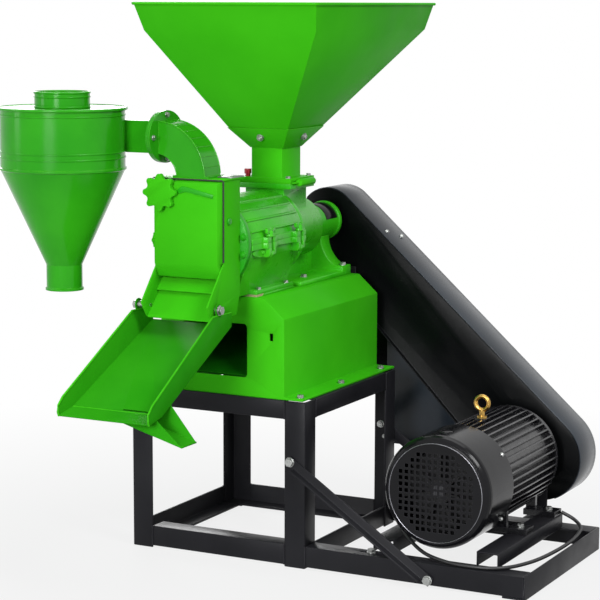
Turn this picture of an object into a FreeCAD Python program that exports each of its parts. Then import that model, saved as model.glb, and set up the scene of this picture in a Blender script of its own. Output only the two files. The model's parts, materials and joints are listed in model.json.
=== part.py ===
import FreeCAD, Part
import math
import os

V = FreeCAD.Vector

# Roller rice huller on an angle-iron stand, with a hopper, a belt drive and a husk cyclone.
# Millimetres. +X runs from the mill to the motor, +Y from the rice outlet to the belts, +Z up.

# Place of the stand's front right corner from the middle of the whole machine
stand_right = 54.5
stand_front = -70.0

# Stand
stand_width = 430.0
stand_height = 363.0
leg_size = 50.0
leg_wall = 5.0
rail_size = 40.0
rail_wall = 4.0

# Skid that carries the motor
skid_reach = 502.0
skid_size = 45.0
skid_wall = 5.0
skid_lift = 5.0
slot_length = 46.0
slot_width = 11.0
rail_channel_width = 50.0
rail_channel_height = 30.0
rail_channel_wall = 4.0
rail_channel_inset = 39.0

# Diagonal braces
brace_size = 22.0
brace_wall = 4.0
brace_top = 232.0
brace_foot = 16.0
brace_run = 322.0
brace_inset = 34.0

# Bolts
bolt_size = 10.0
small_bolt = 8.0

# Sheet housing under the mill
housing_width = 304.0
housing_depth = 466.0
housing_overhang = 11.0
housing_height = 215.0
housing_shoulder = 173.0
housing_ridge_inset = 47.0
housing_offset = 205.0
housing_sheet = 4.0
housing_flange = 45.0
housing_flange_wall = 5.0
window_left = 300.0
window_right = 143.0
window_bottom = 41.0
window_top = 157.0
window_corner = 9.0
peep_slot = (84.0, 125.0, 8.0, 16.0)

# Mill chamber
shaft_rise = 118.0
chamber_length = 238.0
chamber_radius = 95.0
chamber_wall = 12.0
rib_count = 4
rib_size = 2.5
rib_step = 15.0
ear_width = 15.0
ear_thickness = 12.0
ear_length = 44.0
bran_mouth_width = 120.0
bran_mouth_wall = 10.0
foot_width = 160.0
foot_thickness = 9.0
seal_thickness = 5.0
barrel_length = 154.0
barrel_radius = 68.0
barrel_wall = 10.0
barrel_flange = 14.0
head_thickness = 17.0
head_radius = 99.0
head_bore = 60.0
seat_rise = 109.0
seat_wall = 10.0
seat_margin = 28.0
seat_end_margin = 13.0
seat_plate = 12.0
throat_width = 76.0
throat_depth = 88.0
throat_sheet = 3.0

# Rotor
shaft_radius = 15.0
running_gap = 0.08
roller_radius = 64.0
roller_rib = 6.0
roller_end_gap = 12.0
screen_gap = 2.0
screen_sheet = 1.6
screw_radius = 54.0
screw_hub = 26.0
screw_pitch = 46.0
screw_flight = 6.0
fan_radius = 56.0
fan_blades = 6
fan_width = 38.0
fan_set_back = 16.0

# Bearings
housing_tube_radius = 42.0
housing_tube_length = 145.0
tube_overhang = 30.0
bearing_radius = 31.0
bearing_width = 16.0
bearing_inner = 20.0
cover_thickness = 7.0
base_plate = 10.0
base_plate_length = 250.0
pedestal_base = 172.0
pedestal_depth = 44.0
pedestal_inset = 6.0
pedestal_neck = 58.0
pedestal_foot = 12.0
pedestal_ledge = 20.0

# Belt drive
pulley_radius = 59.0
motor_pulley_radius = 66.0
pulley_width = 50.0
pulley_gap = 39.0
belt_count = 3
belt_pitch = 15.0
belt_width = 12.0
belt_depth = 8.0
belt_gap = 0.4
groove_depth = 11.0

# Belt guard
guard_gap = 14.0
guard_depth = 105.0
guard_sheet = 2.0
guard_top_radius = 75.0
guard_end_radius = 102.0
guard_end_offset = (46.0, -12.0)
guard_hem = 12.0
guard_skirt_left = 95.0
guard_skirt_low = 100.0
guard_skirt_right = 120.0

# Outlet box, its cover and the chute
outlet_width = 160.0
outlet_depth = 70.0
outlet_top = 144.0
outlet_bottom = 34.0
outlet_sheet = 3.0
cover_depth = 19.0
cover_bevel = 5.0
cover_drop = 31.0
star_radius = 39.0
star_lobes = 8
star_thickness = 11.0
star_offset = (-55.0, 114.0)
louvre_top = ((28.0, 8.0), (-8.0, -26.0))
louvre_low = ((14.0, -18.0), (-46.0, -79.0))
louvre_turn = 2.0
chute_pivot_forward = 32.0
chute_pivot_drop = 123.0
chute_length = 348.0
chute_slope = 24.2
chute_gap_left = 28.0
chute_gap_right = 5.0
chute_splay_left = 3.0
chute_splay_right = 16.0
chute_sheet = 2.5
chute_tail = 47.0
chute_floor_drop = 60.3
chute_wall_rear = 26.0
chute_wall_peak = 61.0
chute_wall_front = 40.0
chute_ear = 13.0
lip_length = 50.0
lip_rise = 12.0
spout_width = 58.0
spout_setback = 31.8
spout_reach = 58.0
spout_slope = 15.4
spout_slot = 5.0

# Duct and cyclone
duct_width = 67.0
duct_depth = 66.0
duct_sheet = 2.5
elbow_inner_radius = 48.0
duct_flange = 5.0
duct_flange_half = (70.0, 55.0)
cyclone_offset = 272.0
cyclone_radius = 131.0
cyclone_cylinder = 124.0
cyclone_cone = 204.0
cyclone_spigot = 54.0
cyclone_spigot_radius = 38.0
cyclone_sheet = 2.5
cyclone_rim = 4.0
cyclone_above_duct = 24.0
collar_radius = 58.0
collar_height = 35.0
finder_depth = 104.0

# Hopper
hopper_sheet = 2.0
hopper_foot = (148.0, 170.0)
hopper_fold = (418.0, 556.0)
hopper_mouth = (442.0, 600.0)
hopper_shift = 60.0
hopper_foot_rise = 122.0
hopper_cone = 213.0
hopper_band = 57.0
hopper_rim = 7.0
throat_rise = 77.0
throat_flange = 8.0
gate_sheet = 3.0
gate_clearance = 0.4
gate_bar = 8.0
red_knob_radius = 8.0

# Motor
motor_x = 286.0
motor_spread = 236.0
motor_rise = 112.0
motor_shaft_set_back = 12.0
cowl_radius = 121.0
cowl_length = 136.0
cowl_ring_radius = 104.0
cowl_sheet = 2.0
grille_pitch = 13.2
grille_hole = 8.4
frame_radius = 114.0
frame_root = 99.0
frame_bore = 84.0
frame_length = 286.0
fin_count = 44
fin_width = 3.6
shield_length = 32.0
stator_bore = 58.0
stator_front_gap = 60.0
stator_rear_gap = 50.0
rotor_gap = 0.8
motor_shaft_radius = 14.0
motor_shaft_reach = 84.0
motor_fan_radius = 84.0
motor_fan_front = 24.0
motor_fan_width = 38.0
motor_fan_hub = 26.0
motor_fan_sheet = 4.0
foot_height = 13.0
foot_length = 42.0
foot_inside = 52.0
foot_outside = 22.0
foot_web_inside = 30.0
foot_web = 10.0
eye_boss = 26.0
foot_front_gap = 52.0
foot_rear_gap = 63.0
terminal_front = 90.0
terminal_length = 92.0
terminal_reach = 48.0
terminal_half_height = 42.0
terminal_lid = 4.0
gland_radius = 9.0
gland_length = 12.0
eye_rise = 33.0
eye_radius = 15.0
eye_wire = 4.5

# Supply cable, which lies over the skid in front of the motor. Its points are measured to the
# right of the motor's axis, back from the front of the stand and up from the skid.
cable_radius = 4.0
cable_reach = 261.0
cable_gap = 0.4
cable_route = [
    (-137.0, 220.0, 121.0), (-136.5, 182.0, 118.5), (-130.5, 144.0, 100.0),
    (-116.5, 112.0, 68.5), (-93.5, 82.0, 41.0), (-59.5, 59.0, 21.5), (-23.5, 37.5, 10.0),
    (15.5, 19.0, 7.0), (56.5, 9.5, 4.4), (99.5, 9.0, 4.4), (140.5, 16.5, 4.4),
    (167.5, 42.0, 4.6), (180.5, 88.0, 2.0), (188.5, 142.0, -1.5), (194.5, 210.0, -3.0),
    (199.5, 275.0, -2.0), (200.5, 321.0, 0.0), (199.5, 352.0, 2.5), (197.5, 379.0, 6.5),
    (192.4, 398.0, 11.0), (178.5, 411.9, 18.0), (159.5, 417.0, 27.0), (141.9, 411.0, 35.6),
]


# Places that follow from the sizes above
stand_left = stand_right - stand_width
stand_rear = stand_front + housing_depth - housing_overhang
skid_end = stand_right + skid_reach
skid_top = skid_lift + skid_size
shaft_x = stand_right - housing_offset
housing_front = stand_front + housing_sheet
housing_rear = housing_front + housing_depth - housing_sheet
housing_top = stand_height + housing_height
shaft_z = housing_top + shaft_rise
tube_y1 = housing_rear + tube_overhang
barrel_y1 = tube_y1 - housing_tube_length
chamber_y1 = barrel_y1 - barrel_length
chamber_y0 = chamber_y1 - chamber_length
seat_top = shaft_z + seat_rise
seat_plate_width = throat_width + 2.0 * seat_margin
seat_plate_depth = throat_depth + 2.0 * seat_end_margin
throat_y = chamber_y1 + seat_plate_depth / 2.0 - 2.0
head_y0 = chamber_y0 - head_thickness
outlet_y0 = head_y0 - outlet_depth
outlet_x0 = shaft_x - outlet_width / 2.0
outlet_x1 = shaft_x + outlet_width / 2.0
outlet_z1 = shaft_z + outlet_top
outlet_z0 = shaft_z - outlet_bottom
guard_y0 = tube_y1 + guard_gap
guard_y1 = guard_y0 + guard_depth
pulley_y0 = tube_y1 + pulley_gap
pulley_y1 = pulley_y0 + pulley_width
motor_axis_x = stand_right + motor_x
motor_rail_top = skid_top + rail_channel_height
motor_z = motor_rail_top + motor_rise
motor_shaft_y1 = pulley_y1 - motor_shaft_set_back
shield_y1 = motor_shaft_y1 - motor_shaft_reach
frame_y1 = shield_y1 - shield_length
cowl_y1 = frame_y1 - frame_length
cowl_y0 = cowl_y1 - cowl_length
guard_end_x0 = motor_axis_x + guard_end_offset[0]
guard_end_z = motor_z + guard_end_offset[1]
duct_y0 = outlet_y0 + outlet_sheet
duct_y1 = duct_y0 + duct_depth
duct_x0 = shaft_x - duct_width / 2.0
duct_x1 = shaft_x + duct_width / 2.0
elbow_x = duct_x0 - elbow_inner_radius
elbow_z = outlet_z1
elbow_outer_radius = elbow_inner_radius + duct_width
duct_z0 = elbow_z + elbow_inner_radius
duct_z1 = elbow_z + elbow_outer_radius
inlet_x1 = elbow_x - duct_flange
cyclone_x = shaft_x - cyclone_offset
cyclone_y = duct_y1 - cyclone_radius
cyclone_top = duct_z1 + cyclone_above_duct
terminal_y0 = cowl_y1 + terminal_front
gate_z0 = seat_top + gate_clearance
gate_z1 = gate_z0 + gate_sheet
throat_z0 = gate_z1 + gate_clearance
hopper_z0 = seat_top + hopper_foot_rise
pivot_y = outlet_y0 - chute_pivot_forward
pivot_z = shaft_z - chute_pivot_drop


def box(x0, x1, y0, y1, z0, z1):
    return Part.makeBox(x1 - x0, y1 - y0, z1 - z0, V(x0, y0, z0))


def place(axis, a, b, along):
    """A point from its two coordinates across an axis and its distance along it."""
    if axis == "x":
        return V(along, a, b)
    if axis == "y":
        return V(a, along, b)
    return V(a, b, along)


def direction(axis):
    return place(axis, 0.0, 0.0, 1.0)


def rod(axis, a, b, radius, start, end):
    return Part.makeCylinder(radius, end - start, place(axis, a, b, start), direction(axis))


def tube(axis, a, b, outer, inner, start, end):
    return rod(axis, a, b, outer, start, end).cut(rod(axis, a, b, inner, start, end))


def prism(axis, points, start, end):
    corners = [place(axis, a, b, start) for a, b in points]
    face = Part.Face(Part.makePolygon(corners + corners[:1]))
    return face.extrude(direction(axis) * (end - start))


def inset(points, distance):
    """A convex outline moved inwards by one distance on every side."""
    area = sum(p[0] * q[1] - q[0] * p[1] for p, q in zip(points, points[1:] + points[:1]))
    turn = 1.0 if area > 0 else -1.0
    lines = []
    for p, q in zip(points, points[1:] + points[:1]):
        dx, dy = q[0] - p[0], q[1] - p[1]
        length = math.hypot(dx, dy)
        nx, ny = -dy / length * turn, dx / length * turn
        lines.append((nx, ny, nx * p[0] + ny * p[1] + distance))
    result = []
    for one, two in zip(lines[-1:] + lines[:-1], lines):
        det = one[0] * two[1] - two[0] * one[1]
        x = (one[2] * two[1] - two[2] * one[1]) / det
        y = (one[0] * two[2] - two[0] * one[2]) / det
        result.append((x, y))
    return result


def rectangle(x, y, width, depth, z):
    x0, x1 = x - width / 2.0, x + width / 2.0
    y0, y1 = y - depth / 2.0, y + depth / 2.0
    corners = [V(x0, y0, z), V(x1, y0, z), V(x1, y1, z), V(x0, y1, z)]
    return Part.makePolygon(corners + corners[:1])


def frustum(low, high):
    """A solid between two level rectangles, each given as x, y, width, depth, z."""
    return Part.makeLoft([rectangle(*low), rectangle(*high)], True, True)


def shell_frustum(low, high, sheet):
    grown = 2.0 * sheet
    inner_low = (low[0], low[1], low[2] - grown, low[3] - grown, low[4])
    inner_high = (high[0], high[1], high[2] - grown, high[3] - grown, high[4])
    return frustum(low, high).cut(frustum(inner_low, inner_high))


def join(shapes):
    return shapes[0].multiFuse(shapes[1:]).removeSplitter()


def group(shapes):
    return Part.makeCompound(shapes)


def revolve(profile, x, z, start_y):
    """A solid turned about an axis along Y from (distance along, radius) points."""
    corners = [V(x + radius, start_y + along, z) for along, radius in profile]
    face = Part.Face(Part.makePolygon(corners + corners[:1]))
    return face.revolve(V(x, start_y, z), V(0, 1, 0), 360)


def hexagon(size):
    across = size * 0.92
    return [(across * math.cos(math.radians(60 * i)), across * math.sin(math.radians(60 * i)))
            for i in range(6)]


def bolt(axis, a, b, face, way, size):
    """A hexagon head on its washer, standing on a face and pointing up or down the axis."""
    washer = size * 0.18
    head = size * 0.62
    first, second = sorted((face, face + way * washer))
    disc = rod(axis, a, b, size * 1.05, first, second)
    third, fourth = sorted((face + way * washer, face + way * (washer + head)))
    corners = [(a + p, b + q) for p, q in hexagon(size)]
    return join([disc, prism(axis, corners, third, fourth)])


def angle_bar(axis, corner_a, corner_b, way_a, way_b, size, wall, start, end):
    """An angle iron whose outer corner lies at the given place, with legs both ways."""
    outline = [(0, 0), (size, 0), (size, wall), (wall, wall), (wall, size), (0, size)]
    points = [(corner_a + way_a * p, corner_b + way_b * q) for p, q in outline]
    return prism(axis, points, start, end)


def two_circle_wire(x0, z0, r0, x1, z1, r1, y):
    """The closed outline of a taut band round two circles in a plane across Y."""
    dx, dz = x1 - x0, z1 - z0
    span = math.hypot(dx, dz)
    heading = math.atan2(dz, dx)
    lean = math.acos((r0 - r1) / span)
    up, down = heading + lean, heading - lean

    def at(x, z, r, angle):
        return V(x + r * math.cos(angle), y, z + r * math.sin(angle))

    edges = [
        Part.LineSegment(at(x0, z0, r0, up), at(x1, z1, r1, up)).toShape(),
        Part.Arc(at(x1, z1, r1, up), at(x1, z1, r1, heading), at(x1, z1, r1, down)).toShape(),
        Part.LineSegment(at(x1, z1, r1, down), at(x0, z0, r0, down)).toShape(),
        Part.Arc(at(x0, z0, r0, down), at(x0, z0, r0, heading + math.pi),
                 at(x0, z0, r0, up)).toShape(),
    ]
    return Part.Wire(edges)


def two_circle_solid(x0, z0, r0, x1, z1, r1, y0, y1):
    return Part.Face(two_circle_wire(x0, z0, r0, x1, z1, r1, y0)).extrude(V(0, y1 - y0, 0))


# Stand and skid

def legs(y, way):
    posts = []
    for x, side in ((stand_left, 1.0), (stand_right, -1.0)):
        posts.append(angle_bar("z", x, y, side, way, leg_size, leg_wall, 0.0, stand_height))
    return group(posts)


def top_frame():
    x0, x1 = stand_left + leg_size, stand_right - leg_size
    y0, y1 = stand_front + leg_size, stand_rear - leg_size
    z = stand_height
    return group([
        angle_bar("x", stand_front, z, 1.0, -1.0, rail_size, rail_wall, x0, x1),
        angle_bar("x", stand_rear, z, -1.0, -1.0, rail_size, rail_wall, x0, x1),
        angle_bar("y", stand_left, z, 1.0, -1.0, rail_size, rail_wall, y0, y1),
        angle_bar("y", stand_right, z, -1.0, -1.0, rail_size, rail_wall, y0, y1),
    ])


def base_skid():
    bars = []
    slot_x = motor_axis_x - motor_spread / 2.0
    bars.append(angle_bar("x", stand_front, skid_top, 1.0, -1.0, skid_size, skid_wall,
                          stand_left + leg_size, stand_right - leg_size))
    bars.append(angle_bar("x", stand_rear, skid_lift, -1.0, 1.0, skid_size, skid_wall,
                          stand_left + leg_size, stand_right - leg_size))
    for y, way in ((stand_front, 1.0), (stand_rear, -1.0)):
        long_bar = angle_bar("x", y, skid_top, way, -1.0, skid_size, skid_wall,
                             stand_right, skid_end - skid_wall)
        mid = y + way * skid_size * 0.6
        slot = box(slot_x - slot_length, slot_x, mid - slot_width / 2.0, mid + slot_width / 2.0,
                   skid_top - skid_wall, skid_top)
        bars.append(long_bar.cut(slot))
    for x, side in ((stand_left, 1.0), (stand_right, -1.0)):
        bars.append(angle_bar("y", x, skid_lift, side, 1.0, skid_size, skid_wall,
                              stand_front + leg_size, stand_rear - leg_size))
    bars.append(angle_bar("y", skid_end, 0.0, -1.0, 1.0, skid_top, skid_wall,
                          stand_front, stand_rear))
    return group(bars)


def motor_rails():
    rails = []
    half = rail_channel_width / 2.0
    for side in (-1.0, 1.0):
        x = motor_axis_x + side * motor_spread / 2.0
        y0, y1 = stand_front + rail_channel_inset, stand_rear - rail_channel_inset
        outer = box(x - half, x + half, y0, y1, skid_top, motor_rail_top)
        inner = box(x - half + rail_channel_wall, x + half - rail_channel_wall, y0, y1,
                    skid_top, motor_rail_top - rail_channel_wall)
        rails.append(outer.cut(inner))
    return group(rails)


def brace_ends():
    upper = (stand_right - brace_inset, brace_top)
    lower = (upper[0] + brace_run, brace_foot)
    return upper, lower


def diagonal_braces():
    upper, lower = brace_ends()
    length = math.hypot(lower[0] - upper[0], upper[1] - lower[1])
    tilt = math.degrees(math.atan2(upper[1] - lower[1], lower[0] - upper[0]))
    bars = []
    for y, way in ((stand_front, -1.0), (stand_rear, 1.0)):
        over = brace_wall * 2.0
        clear = bolt_size * 1.4
        bar = angle_bar("x", y, -brace_size / 2.0, way, 1.0, brace_size, brace_wall,
                        -over, length + over)
        lengthwise = prism("x", [(y, -brace_size / 2.0), (y + way * brace_wall, -brace_size / 2.0),
                                 (y + way * brace_wall, brace_size / 2.0),
                                 (y, brace_size / 2.0)], -over, length + over)
        trimmed = join([lengthwise, bar.common(box(clear, length - clear, y - brace_size,
                                                   y + brace_size, -brace_size, brace_size))])
        trimmed.rotate(V(0, 0, 0), V(0, 1, 0), tilt)
        trimmed.translate(V(upper[0], 0, upper[1]))
        bars.append(trimmed)
    return group(bars)


def frame_bolts():
    """Bolts of the braces, the motor rails, the housing flange and the motor feet."""
    bolts = []
    upper, lower = brace_ends()
    for y, way in ((stand_front - brace_wall, -1.0), (stand_rear + brace_wall, 1.0)):
        bolts.append(bolt("y", upper[0], upper[1], y, way, bolt_size))
        bolts.append(bolt("y", lower[0], lower[1], y, way, bolt_size))
    flange_z = stand_height + housing_flange_wall
    for side in (-1.0, 1.0):
        x = shaft_x + side * (housing_width / 2.0 + housing_flange * 0.66)
        for share in (0.04, 0.46, 0.9):
            y = housing_front + share * housing_depth
            bolts.append(bolt("z", x, y, flange_z, 1.0, small_bolt))
        rail_x = motor_axis_x + side * motor_spread / 2.0
        for y in motor_foot_places():
            foot_z = motor_rail_top + foot_height
            bolts.append(bolt("z", rail_x, y, foot_z, 1.0, small_bolt))
    slot_x = motor_axis_x - motor_spread / 2.0 - slot_length / 2.0
    for y in (stand_front + skid_size * 0.6, stand_rear - skid_size * 0.6):
        bolts.append(bolt("z", slot_x, y, skid_top, 1.0, bolt_size))
    return group(bolts)


# Sheet housing

def housing_outline():
    half = housing_width / 2.0
    ridge = half - housing_ridge_inset
    shoulder = stand_height + housing_shoulder
    return [(shaft_x - half, stand_height), (shaft_x + half, stand_height),
            (shaft_x + half, shoulder), (shaft_x + ridge, housing_top),
            (shaft_x - ridge, housing_top), (shaft_x - half, shoulder)]


def base_housing():
    outline = housing_outline()
    body = prism("y", outline, housing_front, housing_rear)
    inner = inset(outline, housing_sheet)
    inner[0] = (inner[0][0], stand_height - housing_sheet)
    inner[1] = (inner[1][0], stand_height - housing_sheet)
    body = body.cut(prism("y", inner, housing_front + housing_sheet,
                          housing_rear - housing_sheet))
    half = housing_width / 2.0
    for side in (-1.0, 1.0):
        near = shaft_x + side * half
        far = shaft_x + side * (half + housing_flange)
        x0, x1 = sorted((near, far))
        flange = box(x0, x1, housing_front, housing_rear, stand_height,
                     stand_height + housing_flange_wall)
        body = body.fuse(flange)
    x0, x1 = stand_right - window_left, stand_right - window_right
    z0, z1 = stand_height + window_bottom, stand_height + window_top
    window = box(x0, x1, housing_front - 1.0, housing_front + housing_sheet + 1.0, z0, z1)
    window = window.makeFillet(window_corner, [e for e in window.Edges
                                               if abs(e.tangentAt(e.FirstParameter).y) > 0.9])
    body = body.cut(window)
    px, pz, pw, ph = peep_slot
    slot_x = stand_right - px
    slot_z = stand_height + pz
    body = body.cut(box(slot_x - pw / 2.0, slot_x + pw / 2.0, housing_front - 1.0,
                        housing_front + housing_sheet + 1.0, slot_z, slot_z + ph))
    mouth = bran_mouth_width / 2.0 - bran_mouth_wall
    body = body.cut(box(shaft_x - mouth, shaft_x + mouth, mouth_y0() + bran_mouth_wall,
                        mouth_y1() - bran_mouth_wall, housing_top - 2.0 * housing_sheet,
                        housing_top + 1.0))
    return body.removeSplitter()


def base_deflector():
    """A sloping sheet inside the housing that turns the bran out to the front window."""
    x0 = shaft_x - housing_width / 2.0 + housing_sheet
    x1 = shaft_x + housing_width / 2.0 - housing_sheet
    low_y = housing_front + 2.0 * housing_sheet
    low_z = stand_height + window_bottom
    high_y = housing_front + housing_depth * 0.55
    high_z = stand_height + housing_shoulder - 3.0 * housing_sheet
    run = [(low_y, low_z), (low_y, low_z + housing_sheet), (high_y, high_z + housing_sheet),
           (high_y, high_z)]
    return prism("x", run, x0, x1)


# Mill chamber

def mouth_y0():
    return housing_front + 10.0


def mouth_y1():
    return chamber_y1 - 14.0


def ear_places():
    return (chamber_y0 + chamber_length * 0.30, chamber_y0 + chamber_length * 0.86)


def ear_block(side, z0, z1):
    near = chamber_radius - chamber_wall
    far = chamber_radius + ear_width
    x0, x1 = sorted((shaft_x + side * near, shaft_x + side * far))
    strip_x0, strip_x1 = sorted((shaft_x + side * near, shaft_x + side * (chamber_radius + 5.0)))
    shapes = [box(strip_x0, strip_x1, chamber_y0, chamber_y1, z0, z1)]
    for y in ear_places():
        shapes.append(box(x0, x1, y - ear_length / 2.0, y + ear_length / 2.0, z0, z1))
    return join(shapes)


def clamp_place(y):
    return shaft_x + chamber_radius + ear_width * 0.6, y


def funnel_outline(low_z):
    """The casing's flanks below the joint, which run straight down to the foot."""
    half = bran_mouth_width / 2.0
    fall = shaft_z - low_z
    turn = math.acos(chamber_radius / math.hypot(half, fall)) - math.atan2(fall, half)
    reach = chamber_radius * math.cos(turn)
    drop = chamber_radius * math.sin(turn)
    return [(shaft_x - half, low_z), (shaft_x + half, low_z), (shaft_x + reach, shaft_z + drop),
            (shaft_x - reach, shaft_z + drop)]


def clamp_slots(z0, z1):
    slots = []
    for y in ear_places():
        x = clamp_place(y)[0]
        slots.append(box(x - 6.2, x + ear_width, y - 6.2, y + 6.2, z0, z1))
    return slots


def knife_thickness():
    return ear_thickness / 2.0


def lower_casing():
    z = shaft_z
    ring = rod("y", shaft_x, z, chamber_radius, chamber_y0, chamber_y1)
    half_x = chamber_radius + ear_width + 10.0
    ring = ring.common(box(shaft_x - half_x, shaft_x + half_x, chamber_y0, chamber_y1,
                           z - chamber_radius - 1.0, z))
    foot_z0 = housing_top + seal_thickness
    foot_z1 = foot_z0 + foot_thickness
    mouth = prism("y", funnel_outline(foot_z0), chamber_y0, mouth_y1())
    foot = box(shaft_x - foot_width / 2.0, shaft_x + foot_width / 2.0, mouth_y0(), mouth_y1(),
               foot_z0, foot_z1)
    body = join([ring, mouth, foot, ear_block(1.0, z - ear_thickness, z),
                 ear_block(-1.0, z - ear_thickness, z)])
    body = body.cut(rod("y", shaft_x, z, chamber_radius - chamber_wall,
                        chamber_y0 - 1.0, chamber_y1 + 1.0))
    hole = bran_mouth_width / 2.0 - bran_mouth_wall
    body = body.cut(box(shaft_x - hole, shaft_x + hole, mouth_y0() + bran_mouth_wall,
                        mouth_y1() - bran_mouth_wall, foot_z0 - 1.0, z - chamber_wall))
    for slot in clamp_slots(z - 60.0, z + 1.0):
        body = body.cut(slot)
    for y in ear_places():
        x = clamp_place(y)[0]
        lug_z = z - ear_thickness - 12.0
        for side in (-1.0, 1.0):
            y0, y1 = sorted((y + side * 6.2, y + side * 14.0))
            lug = join([box(x - 12.0, x + 7.0, y0, y1, lug_z, z - ear_thickness),
                        rod("y", x, lug_z, 7.0, y0, y1),
                        box(shaft_x + chamber_radius * 0.8, x, y0, y1, lug_z - 7.0, lug_z + 7.0)])
            lug = lug.cut(rod("y", shaft_x, z, chamber_radius - chamber_wall, y0, y1))
            body = body.fuse(lug)
        body = body.fuse(rod("y", x, lug_z, clamp_pin_radius(), y - 7.0, y + 7.0))
    knife_gap = box(shaft_x - chamber_radius - ear_width, shaft_x - chamber_radius + 20.0,
                    chamber_y0 + 16.0, chamber_y1 - 16.0, z - knife_thickness(), z + 1.0)
    return body.cut(knife_gap).removeSplitter()


def clamp_pin_radius():
    return 3.5


def upper_casing():
    z = shaft_z
    half_x = chamber_radius + ear_width + 10.0
    ring = rod("y", shaft_x, z, chamber_radius, chamber_y0, chamber_y1)
    shapes = [ring.common(box(shaft_x - half_x, shaft_x + half_x, chamber_y0, chamber_y1,
                              z, z + chamber_radius + 1.0)),
              ear_block(1.0, z, z + ear_thickness), ear_block(-1.0, z, z + ear_thickness)]
    for i in range(rib_count):
        for side in (-1.0, 1.0):
            angle = math.radians(16.0 + rib_step * i)
            reach = chamber_radius + rib_size / 2.0 - 0.5
            x = shaft_x + side * reach * math.cos(angle)
            zz = z + reach * math.sin(angle)
            shapes.append(rod("y", x, zz, rib_size, chamber_y0 + 8.0, chamber_y1 - 8.0))
    body = join(shapes)
    body = body.cut(rod("y", shaft_x, z, chamber_radius - chamber_wall,
                        chamber_y0 - 1.0, chamber_y1 + 1.0))
    for slot in clamp_slots(z - 1.0, z + 60.0):
        body = body.cut(slot)
    return body.removeSplitter()


def bran_screen():
    outer = chamber_radius - chamber_wall
    ring = tube("y", shaft_x, shaft_z, outer, outer - screen_sheet, chamber_y0, chamber_y1)
    below = box(shaft_x - outer, shaft_x + outer, chamber_y0, chamber_y1,
                shaft_z - outer - 1.0, shaft_z - knife_thickness() - 0.3)
    ring = ring.common(below)
    slots = []
    for row in range(5):
        angle = math.radians(-122.0 + 16.0 * row)
        for i in range(6):
            y = chamber_y0 + 30.0 + i * 31.0
            slot = box(-3.0, 3.0, y, y + 20.0, outer - 6.0, outer + 4.0)
            slot.rotate(V(0, 0, 0), V(0, 1, 0), 90.0 - math.degrees(angle))
            slot.translate(V(shaft_x, 0, shaft_z))
            slots.append(slot)
    return ring.cut(group(slots))


def rice_knife():
    tip = roller_radius + roller_rib + screen_gap
    return box(shaft_x - chamber_radius - ear_width + 1.0, shaft_x - tip,
               chamber_y0 + 16.0, chamber_y1 - 16.0, shaft_z - knife_thickness(), shaft_z)


def casing_seal():
    z0, z1 = housing_top, housing_top + seal_thickness
    outer = box(shaft_x - foot_width / 2.0, shaft_x + foot_width / 2.0, mouth_y0(), mouth_y1(),
                z0, z1)
    hole = bran_mouth_width / 2.0 - bran_mouth_wall
    return outer.cut(box(shaft_x - hole, shaft_x + hole, mouth_y0() + bran_mouth_wall,
                         mouth_y1() - bran_mouth_wall, z0 - 1.0, z1 + 1.0))


def discharge_head():
    shapes = [rod("y", shaft_x, shaft_z, head_radius, head_y0, chamber_y0),
              box(shaft_x - 58.0, shaft_x + 58.0, head_y0, chamber_y0,
                  housing_top + seal_thickness + foot_thickness, shaft_z)]
    body = join(shapes)
    return body.cut(rod("y", shaft_x, shaft_z, head_bore, head_y0 - 1.0, chamber_y0 + 1.0))


def feed_barrel():
    z = shaft_z
    y0, y1 = chamber_y1, barrel_y1
    wall = barrel_wall
    shapes = [rod("y", shaft_x, z, barrel_radius, y0, y1),
              rod("y", shaft_x, z, chamber_radius, y0, y0 + barrel_flange),
              box(shaft_x - throat_width / 2.0 - seat_wall, shaft_x + throat_width / 2.0 + seat_wall,
                  throat_y - throat_depth / 2.0 - seat_wall,
                  throat_y + throat_depth / 2.0 + seat_wall,
                  z, seat_top),
              box(shaft_x - seat_plate_width / 2.0, shaft_x + seat_plate_width / 2.0,
                  throat_y - seat_plate_depth / 2.0, throat_y + seat_plate_depth / 2.0,
                  seat_top - seat_plate, seat_top)]
    body = join(shapes)
    body = body.cut(rod("y", shaft_x, z, barrel_radius - wall, y0 - 1.0, y1 - wall))
    body = body.cut(box(shaft_x - throat_width / 2.0 + throat_sheet,
                        shaft_x + throat_width / 2.0 - throat_sheet,
                        throat_y - throat_depth / 2.0 + throat_sheet,
                        throat_y + throat_depth / 2.0 - throat_sheet, z, seat_top + 1.0))
    body = body.cut(rod("y", shaft_x, z, shaft_radius + running_gap, y1 - wall - 1.0, y1 + 1.0))
    return body.removeSplitter()


def clamp(y):
    """A hinged eye bolt with its wing nut, which holds the two casing halves together."""
    x = clamp_place(y)[0]
    pivot_z = shaft_z - ear_thickness - 12.0
    top = shaft_z + ear_thickness
    shank = 4.5
    eye = rod("y", x, pivot_z, 8.0, y - 5.0, y + 5.0)
    nut = rod("z", x, y, 9.5, top + 0.6, top + 3.0)
    hub = rod("z", x, y, 7.5, top + 3.0, top + 13.0)
    wings = box(x - 3.0, x + 3.0, y - 17.0, y + 17.0, top + 8.0, top + 18.0)
    wings = wings.cut(rod("z", x, y, 7.0, top + 13.0, top + 20.0))
    body = join([eye, rod("z", x, y, shank, pivot_z, top + 16.0), nut, hub, wings])
    return body.cut(rod("y", x, pivot_z, clamp_pin_radius() + running_gap, y - 6.0, y + 6.0))


# Rotor

def mill_shaft():
    return rod("y", shaft_x, shaft_z, shaft_radius, outlet_y0 + fan_set_back, pulley_y1 + 6.0)


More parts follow.
